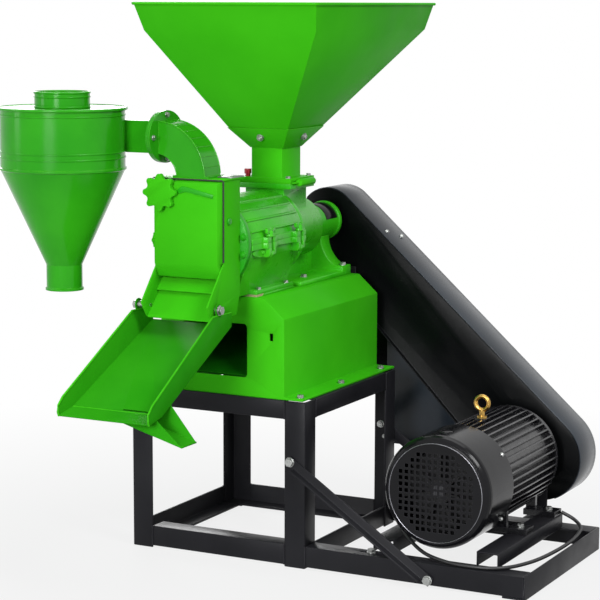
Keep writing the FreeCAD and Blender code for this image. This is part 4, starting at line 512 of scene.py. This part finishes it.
materials = {
    "sheet_green": paint("sheet_green", GREEN, srgb(52, 166, 18), GREEN_WEAR_AND_GLINT),
    "deep_green": paint("deep_green", srgb(44, 146, 18), srgb(34, 132, 14), GREEN),
    "cast_green": cast("cast_green", GREEN, srgb(40, 166, 14), GREEN_WEAR_AND_GLINT, 0.34, 0.25, 0.15),
    "head_green": cast("head_green", srgb(30, 152, 12), srgb(22, 130, 8), GREEN, 0.38, 0.2,
                       0.15),
    # The deflector inside the base housing gets a dark green that paints the shade in there.
    "inner_shade_green": paint("inner_shade_green", GREEN_PAINTED_SHADE, srgb(10, 64, 6), GREEN, (0.42, 0.55)),
    "duct_green": paint("duct_green", srgb(46, 152, 20), srgb(32, 134, 14), GREEN_WEAR_AND_GLINT,
                        (0.12, 0.20), 0.1, 0.6, 0.12),
    "frame_black": paint("frame_black", BLACK, srgb(22, 22, 25), BLACK_WEAR_AND_GLINT, (0.32, 0.44),
                         gloss=0.10),
    # The pale bluish colour on the guard's sharp edges is a painted edge highlight as much as wear.
    "guard_black": paint("guard_black", srgb(10, 11, 12), srgb(6, 7, 8), srgb(110, 116, 126),
                         (0.20, 0.30), gloss=0.06),
    # Bluish grey-black for the guard's band: a painted reflection of the pale surroundings, with a
    # lighter painted highlight along its edges.
    "band_sheen_black": paint("band_sheen_black", srgb(40, 47, 55), srgb(24, 29, 35), srgb(130, 136, 146),
                        (0.16, 0.26), 0.1, gloss=0.22),
    # Black rubber for the painted shadow strips round the outlet cover.
    "shadow_seal_black": soft("shadow_seal_black", srgb(20, 22, 20), srgb(10, 12, 10), 0.6, 220.0, 0.0003),
    "worn_edge": metal("worn_edge", srgb(150, 150, 156), (0.3, 0.45)),
    "motor_black": cast("motor_black", srgb(24, 24, 27), srgb(14, 14, 16), BLACK_WEAR_AND_GLINT, 0.26,
                        0.3, 0.3),
    "cowl_black": paint("cowl_black", srgb(18, 18, 21), srgb(12, 12, 14), BLACK_WEAR_AND_GLINT,
                        (0.14, 0.22), 0.12, 0.3, 0.12),
    "zinc": metal("zinc", ZINC),
    "ground_steel": metal("ground_steel", srgb(196, 196, 198), (0.16, 0.30), (1.0, 40.0, 1.0)),
    "bare_steel": metal("bare_steel", srgb(150, 150, 152), (0.34, 0.5)),
    "raw_iron": cast("raw_iron", IRON, srgb(58, 58, 62), ZINC, 0.55),
    "felt": soft("felt", FELT, srgb(150, 134, 102), 0.95, 380.0, 0.0012),
    "rubber": soft("rubber", RUBBER, srgb(12, 12, 13), 0.7, 240.0, 0.0006),
    "sheath": soft("sheath", srgb(26, 26, 28), srgb(14, 14, 15), 0.45, 300.0, 0.0003),
    "red_plastic": soft("red_plastic", KNOB_RED, srgb(160, 14, 34), 0.28, 200.0, 0.0002),
    "black_plastic": soft("black_plastic", srgb(26, 26, 28), srgb(16, 16, 18), 0.4, 260.0,
                          0.0003),
    "gold_plate": metal("gold_plate", GOLD, (0.22, 0.36)),
}


# Dressed copies of the CAD pieces

def body_of(node):
    for body, members in frame["record"]["behaviour"]["bodies"].items():
        if node in members:
            return body
    return None


def shade_by_angle(mesh):
    mesh.polygons.foreach_set("use_smooth", [True] * len(mesh.polygons))
    mesh.set_sharp_from_angle(angle=math.radians(SMOOTH_ANGLE))


def round_edges(obj, width):
    """Rounds the mesh along its sharp edges."""
    modifier = obj.modifiers.new("edges", "BEVEL")
    modifier.width = width
    modifier.segments = BEVEL_SEGMENTS
    modifier.limit_method = "ANGLE"
    modifier.angle_limit = math.radians(SHARP_ANGLE)
    modifier.use_clamp_overlap = True
    modifier.miter_outer = "MITER_ARC"
    graph = bpy.context.evaluated_depsgraph_get()
    mesh = bpy.data.meshes.new_from_object(obj.evaluated_get(graph))
    obj.modifiers.clear()
    obj.data = mesh


def piece(name, work, material, node, width=0.0):
    """A mesh piece that rides with a CAD node's body and takes the given material."""
    bmesh.ops.recalc_face_normals(work, faces=work.faces)
    mesh = bpy.data.meshes.new(name)
    work.to_mesh(mesh)
    work.free()
    obj = bpy.data.objects.new(name, mesh)
    bpy.context.scene.collection.objects.link(obj)
    if width:
        round_edges(obj, width)
    shade_by_angle(obj.data)
    obj.data.materials.clear()
    obj.data.materials.append(materials[material])
    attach(obj, body_of(node))
    return obj


def dress(node, material, width):
    """A copy of a CAD piece with its sharp edges rounded in the mesh."""
    work = bmesh.new()
    work.from_mesh(frame["nodes"][node].data)
    bmesh.ops.remove_doubles(work, verts=work.verts, dist=MERGE)
    bmesh.ops.dissolve_limit(work, angle_limit=math.radians(FLAT_ANGLE), verts=work.verts,
                             edges=work.edges)
    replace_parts(piece(node + "_form", work, material, node, width), node)


def keep(node, material):
    """A CAD piece that stays as it is, with its own finish."""
    obj = frame["nodes"][node]
    obj.data.materials.clear()
    obj.data.materials.append(materials[material])


def across(axis):
    """Two directions at right angles to an axis."""
    axis = axis.normalized()
    side = UP if abs(axis.z) < NEARLY_UPRIGHT else RIGHT
    first = axis.cross(side).normalized()
    return first, axis.cross(first).normalized()


def loops(work, rings, closed):
    """Faces between rings of points that all have the same count."""
    rows = [[work.verts.new(point) for point in ring] for ring in rings]
    pairs = list(zip(rows, rows[1:] + rows[:1])) if closed else list(zip(rows, rows[1:]))
    for one, two in pairs:
        for i in range(len(one)):
            j = (i + 1) % len(one)
            work.faces.new((one[i], one[j], two[j], two[i]))
    if not closed:
        work.faces.new(rows[0])
        work.faces.new(rows[-1])


def add_turned(work, center, axis, profile, count=TURNED_SIDES):
    """A ring turned about an axis from a closed outline of (radius, distance along) points."""
    center, axis = Vector(center), Vector(axis).normalized()
    first, second = across(axis)
    rings = []
    for i in range(count):
        angle = 2.0 * math.pi * i / count
        out = first * math.cos(angle) + second * math.sin(angle)
        rings.append([center + out * radius + axis * along for radius, along in profile])
    loops(work, rings, True)


def add_bead(work, center, axis, radius, size, count=TURNED_SIDES):
    """A half-round bead that runs round a turned piece."""
    turns = [math.radians(180.0 * i / BEAD_STEPS - 90.0) for i in range(BEAD_STEPS + 1)]
    outline = [(radius + size * math.cos(turn), BEAD_WIDTH * size * math.sin(turn))
               for turn in turns]
    outline.append((radius - size, 0.0))
    add_turned(work, center, axis, outline, count)


def add_tube(work, points, radius, closed=False, sides=TUBE_SIDES, ripple=0.0):
    """A round bar along points, whose thickness can swell and shrink as a weld does."""
    points = [Vector(point) for point in points]
    rings = []
    for i, point in enumerate(points):
        before = points[i - 1] if i or closed else point
        after = points[(i + 1) % len(points)] if i + 1 < len(points) or closed else point
        first, second = across(after - before)
        size = radius * (1.0 + ripple * (1.0 if i % 2 else -1.0))
        rings.append([point + (first * math.cos(2.0 * math.pi * k / sides)
                               + second * math.sin(2.0 * math.pi * k / sides)) * size
                      for k in range(sides)])
    loops(work, rings, closed)


def add_weld(work, start, end):
    start, end = Vector(start), Vector(end)
    count = max(WELD_FEWEST, int((end - start).length / WELD_STEP))
    places = [start.lerp(end, i / count) for i in range(count + 1)]
    add_tube(work, places, WELD_BEAD, ripple=WELD_RIPPLE)


def add_slab(work, outline, way):
    """A flat piece from an outline of places, made thick along one way."""
    way = Vector(way)
    near = [Vector(point) for point in outline]
    loops(work, [near, [point + way for point in near]], False)


def add_block(work, low, high):
    (x0, y0, z0), (x1, y1, z1) = low, high
    add_slab(work, [(x0, y0, z0), (x1, y0, z0), (x1, y1, z0), (x0, y1, z0)], (0.0, 0.0, z1 - z0))


def add_screw(work, place, way, size):
    """A hexagon head with a chamfered top, on its washer, with the end of its thread."""
    place, way = Vector(place), Vector(way).normalized()
    first, second = across(way)
    sixth = math.pi / 3.0
    for rows, hexagons in ((SCREW_WASHER, 0), (SCREW_HEAD, 2), (SCREW_THREAD, 0)):
        rings = []
        for row, (radius, rise) in enumerate(rows):
            ring = []
            for i in range(SCREW_SIDES):
                angle = 2.0 * math.pi * i / SCREW_SIDES
                reach = radius * size
                if row < hexagons:
                    reach /= math.cos((angle + sixth / 2.0) % sixth - sixth / 2.0)
                ring.append(place + way * rise * size + first * reach * math.cos(angle)
                            + second * reach * math.sin(angle))
            rings.append(ring)
        loops(work, rings, False)


def around(angle):
    """The direction across the shaft at an angle in degrees, from the right over the top."""
    turn = math.radians(angle)
    return Vector((math.cos(turn), 0.0, math.sin(turn)))


# Finish of each CAD node, and the rounding of the nodes that are dressed

kept = {
    "front_legs": "frame_black", "rear_legs": "frame_black", "top_frame": "frame_black",
    "base_skid": "frame_black", "motor_rails": "frame_black", "diagonal_braces": "frame_black",
    "frame_bolts": "zinc", "panel_bolts": "zinc", "chute_pivots": "zinc",
    "base_housing": "sheet_green", "base_deflector": "inner_shade_green",
    "lower_casing": "cast_green", "upper_casing": "cast_green", "feed_barrel": "cast_green",
    "discharge_head": "head_green", "pedestal": "cast_green",
    "bran_screen": "bare_steel", "rice_knife": "bare_steel", "casing_seal": "felt",
    "front_clamp": "cast_green", "rear_clamp": "cast_green",
    "mill_shaft": "ground_steel", "milling_roller": "raw_iron", "feed_screw": "raw_iron",
    "fan_impeller": "raw_iron", "front_bearing": "ground_steel", "rear_bearing": "ground_steel",
    "bearing_housing": "cast_green", "bearing_covers": "guard_black",
    "main_pulley": "raw_iron", "motor_pulley": "raw_iron", "drive_belts": "rubber",
    "guard_shell": "band_sheen_black", "guard_plate": "guard_black", "guard_brackets": "frame_black",
    "outlet_box": "sheet_green", "outlet_cover": "sheet_green", "outlet_louvres": "sheet_green",
    "damper_plate": "bare_steel", "star_knob": "sheet_green", "side_knob": "sheet_green",
    "chute_tray": "deep_green", "broken_rice_spout": "deep_green",
    "elbow_duct": "duct_green", "cyclone_inlet": "duct_green", "cyclone_body": "duct_green",
    "cyclone_lid": "duct_green", "hopper": "sheet_green", "hopper_throat": "sheet_green",
    "slide_gate": "sheet_green", "gate_knob": "red_plastic",
    "motor_body": "motor_black", "motor_shields": "motor_black", "motor_stator": "raw_iron",
    "motor_rotor": "raw_iron", "motor_fan": "black_plastic", "fan_cowl": "cowl_black",
    "eyebolt": "gold_plate", "terminal_box": "cowl_black",
}
dressed = {
    "front_legs": LEG_BEVEL, "rear_legs": LEG_BEVEL, "top_frame": PLATE_BEVEL,
    "base_skid": PLATE_BEVEL, "motor_rails": PLATE_BEVEL, "diagonal_braces": PLATE_BEVEL,
    "base_housing": PLATE_BEVEL, "outlet_box": SHEET_BEVEL, "outlet_cover": SHEET_BEVEL,
    "outlet_louvres": SHEET_BEVEL, "chute_tray": SHEET_BEVEL, "broken_rice_spout": SHEET_BEVEL,
    "hopper": SHEET_BEVEL, "hopper_throat": SHEET_BEVEL, "slide_gate": SHEET_BEVEL,
    "feed_barrel": CAST_BEVEL, "discharge_head": CAST_BEVEL, "pedestal": CAST_BEVEL,
    "lower_casing": PLATE_BEVEL, "upper_casing": PLATE_BEVEL, "star_knob": PLATE_BEVEL,
    "front_clamp": PLATE_BEVEL, "rear_clamp": PLATE_BEVEL, "guard_plate": SHEET_BEVEL,
    "guard_shell": SHEET_BEVEL, "terminal_box": PLATE_BEVEL, "guard_brackets": PLATE_BEVEL,
}
for node, finish in kept.items():
    if node in dressed:
        dress(node, finish, dressed[node])
    else:
        keep(node, finish)


# Details of the duct and the cyclone

def cyclone_details():
    beads = [(height, CYCLONE_RADIUS, CYCLONE_BEAD) for height in CYCLONE_BEADS]
    beads += [(height, COLLAR_RADIUS, CYCLONE_BEAD) for height in COLLAR_BEADS]
    beads += [(CYCLONE_TOP + BEAD_FROM_EDGE, CYCLONE_RADIUS + LID_OVERHANG, LID_BEAD),
              (COLLAR_TOP - BEAD_FROM_EDGE, COLLAR_RADIUS, COLLAR_BEAD)]
    work = bmesh.new()
    for height, radius, size in beads:
        add_bead(work, (CYCLONE_X, CYCLONE_Y, height), UP, radius, size)
    piece("cyclone_beads", work, "duct_green", "cyclone_body")


def elbow_place(radius, degrees, y):
    return Vector((ELBOW_X, y, ELBOW_Z)) + radius * around(degrees)


def elbow_details():
    work = bmesh.new()
    turns = [SEAM_START + SEAM_TURN * i / SEAM_STEPS for i in range(SEAM_STEPS + 1)]
    for radius, bar in ((ELBOW_RADIUS, OUTER_SEAM), (ELBOW_INNER, INNER_SEAM)):
        for y in (ELBOW_FRONT, ELBOW_BACK):
            add_tube(work, [elbow_place(radius, turn, y) for turn in turns], bar,
                     ripple=SEAM_RIPPLE)
    for i in range(1, ELBOW_FOLDS):
        turn = 90.0 * i / ELBOW_FOLDS
        add_tube(work, [elbow_place(ELBOW_RADIUS, turn, y) for y in (ELBOW_FRONT, ELBOW_BACK)],
                 FOLD_RIDGE)
    piece("elbow_seams", work, "duct_green", "elbow_duct")


# Details of the outlet

def outlet_details():
    # Black strips drawn as a rubber seal: a painted shadow under the box's top plate and painted
    # shade in the gaps beside the cover.
    work = bmesh.new()
    shadow_seal_low = BOX_TOP - SHADOW_SEAL_OUT
    shadow_seal_y = BOX_FRONT - SHADOW_SEAL_AHEAD
    add_block(work, (BOX_LEFT - SHADOW_SEAL_OUT, shadow_seal_y - SHADOW_SEAL_THICKNESS, shadow_seal_low),
              (BOX_RIGHT + SHADOW_SEAL_OUT, shadow_seal_y, BOX_TOP - SHADOW_SEAL_FROM_TOP))
    for x, way in ((BOX_RIGHT, SHADOW_SEAL_THICKNESS), (BOX_LEFT, -SHADOW_SEAL_THICKNESS)):
        add_block(work, (x, BOX_FRONT - SHADOW_SEAL_LAP_FRONT, SHADOW_SEAL_FOOT),
                  (x + way, BOX_FRONT + SHADOW_SEAL_LAP_BACK, shadow_seal_low))
    piece("cover_shadow_seal", work, "shadow_seal_black", "outlet_cover")
    # The strap on the cover takes the darker head green: painted shade, for the strap's darker
    # look.
    work = bmesh.new()
    add_slab(work, [(x, COVER_FRONT + STRAP_SUNK, z) for x, z in STRAP],
             FORWARD * STRAP_THICKNESS)
    piece("cover_strap_shaded", work, "head_green", "outlet_cover", STRAP_BEVEL)
    work = bmesh.new()
    add_block(work, (TOP_STRIP_X[0], TOP_STRIP_Y[0], BOX_TOP),
              (TOP_STRIP_X[1], TOP_STRIP_Y[1], BOX_TOP + TOP_STRIP_THICKNESS))
    piece("box_top_strip", work, "bare_steel", "outlet_box", STRIP_BEVEL)
    work = bmesh.new()
    add_turned(work, (BOX_RIGHT, *SIDE_BOSS), RIGHT, SIDE_BOSS_PROFILE, SMALL_SIDES)
    piece("box_side_boss", work, "head_green", "outlet_box")


def chute_place(side, along, off):
    """A place on a chute wall, from its distance down the chute and off the pivots' line."""
    start, growth = CHUTE_LEFT if side < 0 else CHUTE_RIGHT
    reach = CHUTE_HALF + start + growth * (along - CHUTE_START) / CHUTE_LENGTH
    slope = math.radians(CHUTE_SLOPE)
    return Vector((SHAFT_X + side * reach,
                   PIVOT_Y - along * math.cos(slope) - off * math.sin(slope),
                   PIVOT_Z - along * math.sin(slope) + off * math.cos(slope)))


def chute_details():
    work = bmesh.new()
    for side in (-1.0, 1.0):
        inward = LEFT * side
        add_tube(work, [chute_place(side, along, off) + inward * CHUTE_HALF_WALL
                        for along, off in CHUTE_TOP_LINE], CHUTE_HEM)
    add_tube(work, [chute_place(side, CHUTE_BEND, CHUTE_FLOOR) + LEFT * side * CHUTE_BEND_INSET
                    for side in (-1.0, 1.0)], CHUTE_BEND_RIDGE)
    piece("chute_hem", work, "sheet_green", "chute_tray")


# Details of the mill and the hopper

def mill_details():
    work = bmesh.new()
    add_turned(work, (SHAFT_X, END_RING_Y, SHAFT_Z), BACK, END_RING_PROFILE)
    piece("tube_end_ring", work, "cast_green", "bearing_housing")
    work = bmesh.new()
    ways = [around(BARE_PLATE_START + BARE_PLATE_STEP * i) for i in range(BARE_PLATE_STEPS + 1)]
    rows = []
    for y in BARE_PLATE_Y:
        center = Vector((SHAFT_X, y, SHAFT_Z))
        rows.append([center + BARE_PLATE_OUTER * way for way in ways]
                    + [center + BARE_PLATE_INNER * way for way in reversed(ways)])
    loops(work, rows, False)
    piece("bare_plate", work, "cowl_black", "bearing_housing", FINE_BEVEL)
    work = bmesh.new()
    center = Vector(POCKET)
    rings = []
    for rise, scale in POCKET_STEPS:
        ring = []
        for i in range(POCKET_SIDES):
            turn = 2.0 * math.pi * i / POCKET_SIDES
            ring.append(center + Vector((rise, POCKET_HALF_LENGTH * scale * math.cos(turn),
                                         POCKET_HALF_HEIGHT * scale * math.sin(turn))))
        rings.append(ring)
    loops(work, rings, False)
    add_turned(work, center + Vector(POCKET_BOSS), RIGHT, POCKET_BOSS_PROFILE,
               POCKET_BOSS_SIDES)
    piece("casing_pocket", work, "cast_green", "lower_casing")
    work = bmesh.new()
    add_slab(work, [(FOOT_RIGHT, y, z) for y, z in LIP_OUTLINE], RIGHT * LIP_THICKNESS)
    piece("foot_lip", work, "cast_green", "lower_casing", FINE_BEVEL)
    work = bmesh.new()
    add_slab(work, [(SHAFT_X - WEB_HALF, y, z) for y, z in WEB_OUTLINE], RIGHT * 2.0 * WEB_HALF)
    piece("barrel_web", work, "cast_green", "pedestal", SHEET_BEVEL)


def hopper_details():
    work = bmesh.new()
    rim = []
    for quarter, (side_x, side_y) in enumerate(((1, 1), (-1, 1), (-1, -1), (1, -1))):
        corner_x = SHAFT_X + side_x * (HOPPER_HALF_X - RIM_CORNER)
        corner_y = HOPPER_Y + side_y * (HOPPER_HALF_Y - RIM_CORNER)
        for i in range(RIM_CORNER_STEPS + 1):
            turn = math.radians(90.0 * (quarter + i / RIM_CORNER_STEPS))
            rim.append((corner_x + RIM_CORNER * math.cos(turn),
                        corner_y + RIM_CORNER * math.sin(turn), HOPPER_RIM_Z))
    add_tube(work, rim, RIM_BAR, closed=True, sides=RIM_SIDES)
    piece("hopper_rolled_rim", work, "sheet_green", "hopper")
    work = bmesh.new()
    for place, way in THROAT_SCREWS:
        add_screw(work, place, way, THROAT_SCREW)
    piece("throat_screws", work, "zinc", "panel_bolts")
    work = bmesh.new()
    head = Vector((SHAFT_X, HEAD_FRONT, SHAFT_Z))
    for angle in HEAD_SCREW_ANGLES:
        add_screw(work, head + HEAD_SCREW_REACH * around(angle), FORWARD, HEAD_SCREW)
    piece("head_screws", work, "head_green", "discharge_head")


# Details of the stand, the guard and the motor

def stand_details():
    work = bmesh.new()
    for y in (STAND_FRONT, STAND_REAR):
        for x in (STAND_LEFT + LEG, STAND_RIGHT - LEG):
            for low, high in (TOP_RAIL, LOW_RAIL):
                add_weld(work, (x, y, low), (x, y, high))
        add_weld(work, (STAND_RIGHT, y, LOW_RAIL[0]), (STAND_RIGHT, y, LOW_RAIL[1]))
    for x in (STAND_LEFT, STAND_RIGHT):
        for y in (STAND_FRONT + LEG, STAND_REAR - LEG):
            for low, high in (TOP_RAIL, LOW_RAIL):
                add_weld(work, (x, y, low), (x, y, high))
    piece("stand_welds", work, "frame_black", "front_legs")
    work = bmesh.new()
    front = STAND_REAR - LEG - CORNER_LAP
    for x0, x1 in ((STAND_LEFT + CORNER_INSET, STAND_LEFT + LEG + CORNER_LAP),
                   (STAND_RIGHT - LEG - CORNER_LAP, STAND_RIGHT - CORNER_INSET)):
        add_block(work, (x0, front, CORNER_INSET),
                  (x1, STAND_REAR - CORNER_INSET, CORNER_INSET + CORNER_THICKNESS))
    piece("corner_plates", work, "frame_black", "rear_legs")
    work = bmesh.new()
    for x, z, size in LEG_SCREWS:
        add_screw(work, (x, STAND_REAR - SHEET, z), FORWARD, size)
    for place in GUARD_SCREWS:
        add_screw(work, place, GUARD_UP, GUARD_SCREW)
    piece("small_screws", work, "zinc", "frame_bolts")


def guard_details():
    work = bmesh.new()
    add_slab(work, [(x, GUARD_FRONT, z) for x, z in SKIRT_CORNER], BACK * SKIRT_THICKNESS)
    piece("guard_corner", work, "guard_black", "guard_plate")


def motor_details():
    work = bmesh.new()
    add_bead(work, (MOTOR_X, COWL_FRONT + COWL_RING_RISE, MOTOR_Z), FORWARD, COWL_FACE_RADIUS,
             COWL_RING, COWL_RING_COUNT)
    piece("cowl_ring", work, "worn_edge", "fan_cowl")
    work = bmesh.new()
    center = Vector((MOTOR_X, COWL_SCREW_Y, MOTOR_Z))
    for angle in COWL_SCREW_ANGLES:
        way = around(angle)
        add_screw(work, center + COWL_RADIUS * way, way, COWL_SCREW)
    piece("cowl_screws", work, "zinc", "fan_cowl")
    work = bmesh.new()
    add_turned(work, (MOTOR_X, PLUG_Y, MOTOR_Z + COWL_RADIUS), UP, PLUG_PROFILE,
               PLUG_SIDES)
    piece("cowl_plug", work, "cowl_black", "fan_cowl")


cyclone_details()
elbow_details()
outlet_details()
chute_details()
mill_details()
hopper_details()
stand_details()
guard_details()
motor_details()


# Supply cable

def supply_cable():
    curve = bpy.data.curves.new("supply_cable_run", "CURVE")
    curve.dimensions = "3D"
    spline = curve.splines.new("NURBS")
    spline.points.add(len(CABLE_ROUTE) - 1)
    for point, place in zip(spline.points, CABLE_ROUTE):
        point.co = (*place, 1.0)
    spline.order_u = CABLE_ORDER
    spline.use_endpoint_u = True
    spline.resolution_u = CABLE_STEPS
    curve.bevel_depth = CABLE_DIAMETER / 2.0
    curve.bevel_resolution = CABLE_ROUNDING
    curve.use_fill_caps = True
    curve.materials.append(materials["sheath"])
    obj = bpy.data.objects.new("supply_cable_run", curve)
    bpy.context.scene.collection.objects.link(obj)
    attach(obj, body_of("supply_cable"))
    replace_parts(obj, "supply_cable")


supply_cable()


# Floor, light and camera

def seen_share(tree):
    """1 for what the camera, a reflection or glass shows, 0 for what lights the object."""
    path = tree.nodes.new("ShaderNodeLightPath")
    mirrored = arithmetic(tree, "MAXIMUM", path.outputs["Is Camera Ray"],
                          path.outputs["Is Glossy Ray"])
    return arithmetic(tree, "MAXIMUM", mirrored, path.outputs["Is Transmission Ray"])


def stage_material():
    """Pale floor that keeps the shadow near the object and turns white away from it."""
    material = bpy.data.materials.new("studio_floor")
    material.use_nodes = True
    tree = material.node_tree
    tree.nodes.clear()
    output = tree.nodes.new("ShaderNodeOutputMaterial")
    pale = tree.nodes.new("ShaderNodeBsdfDiffuse")
    pale.inputs["Color"].default_value = FLOOR_GREY
    white = tree.nodes.new("ShaderNodeEmission")
    place = tree.nodes.new("ShaderNodeTexCoord")
    length = tree.nodes.new("ShaderNodeVectorMath")
    length.operation = "LENGTH"
    tree.links.new(place.outputs["Object"], length.inputs[0])
    away = spread(tree, length.outputs["Value"], FLOOR_WHITE_NEAR, 1.0, *FLOOR_FADE)
    share = arithmetic(tree, "MULTIPLY", away, seen_share(tree))
    mix = tree.nodes.new("ShaderNodeMixShader")
    tree.links.new(share, mix.inputs[0])
    tree.links.new(pale.outputs["BSDF"], mix.inputs[1])
    tree.links.new(white.outputs["Emission"], mix.inputs[2])
    tree.links.new(mix.outputs["Shader"], output.inputs["Surface"])
    return material


def floor():
    mesh = bpy.data.meshes.new("studio_floor")
    reach = FLOOR_REACH
    mesh.from_pydata([(-reach, -reach, FLOOR_HEIGHT), (reach, -reach, FLOOR_HEIGHT),
                      (reach, reach, FLOOR_HEIGHT), (-reach, reach, FLOOR_HEIGHT)],
                     [], [(0, 1, 2, 3)])
    obj = bpy.data.objects.new("studio_floor", mesh)
    bpy.context.scene.collection.objects.link(obj)
    mesh.materials.append(stage_material())


def lamp(name, place, target, size, power):
    light = bpy.data.lights.new(name, "AREA")
    light.shape = "RECTANGLE"
    light.size, light.size_y = size
    light.energy = power
    obj = bpy.data.objects.new(name, light)
    obj.location = place
    obj.rotation_euler = (Vector(target) - Vector(place)).to_track_quat("-Z", "Y").to_euler()
    bpy.context.scene.collection.objects.link(obj)


def world():
    sky = bpy.data.worlds.new("studio")
    sky.use_nodes = True
    tree = sky.node_tree
    tree.nodes.clear()
    output = tree.nodes.new("ShaderNodeOutputWorld")
    lit = tree.nodes.new("ShaderNodeBackground")
    lit.inputs["Color"].default_value = SKY_COLOR
    lit.inputs["Strength"].default_value = SKY_LIGHT
    seen = tree.nodes.new("ShaderNodeBackground")
    seen.inputs["Color"].default_value = (1.0, 1.0, 1.0, 1.0)
    mix = tree.nodes.new("ShaderNodeMixShader")
    tree.links.new(seen_share(tree), mix.inputs[0])
    tree.links.new(lit.outputs["Background"], mix.inputs[1])
    tree.links.new(seen.outputs["Background"], mix.inputs[2])
    tree.links.new(mix.outputs["Shader"], output.inputs["Surface"])
    bpy.context.scene.world = sky


def camera():
    lens = bpy.data.cameras.new("camera")
    lens.lens = CAMERA_LENS
    lens.sensor_width = CAMERA_SENSOR
    lens.clip_end = CAMERA_REACH
    obj = bpy.data.objects.new("camera", lens)
    obj.location = CAMERA_PLACE
    turn = Euler((math.radians(90.0 - CAMERA_DIP), 0.0, math.radians(CAMERA_TURN)), "XYZ")
    roll = Euler((0.0, 0.0, math.radians(CAMERA_ROLL)), "XYZ")
    obj.rotation_euler = (turn.to_matrix() @ roll.to_matrix()).to_euler()
    bpy.context.scene.collection.objects.link(obj)
    bpy.context.scene.camera = obj


floor()
world()
for name, place, target, size, power in LAMPS:
    lamp(name, place, target, size, power)
camera()
bpy.context.scene.view_settings.view_transform = "Standard"
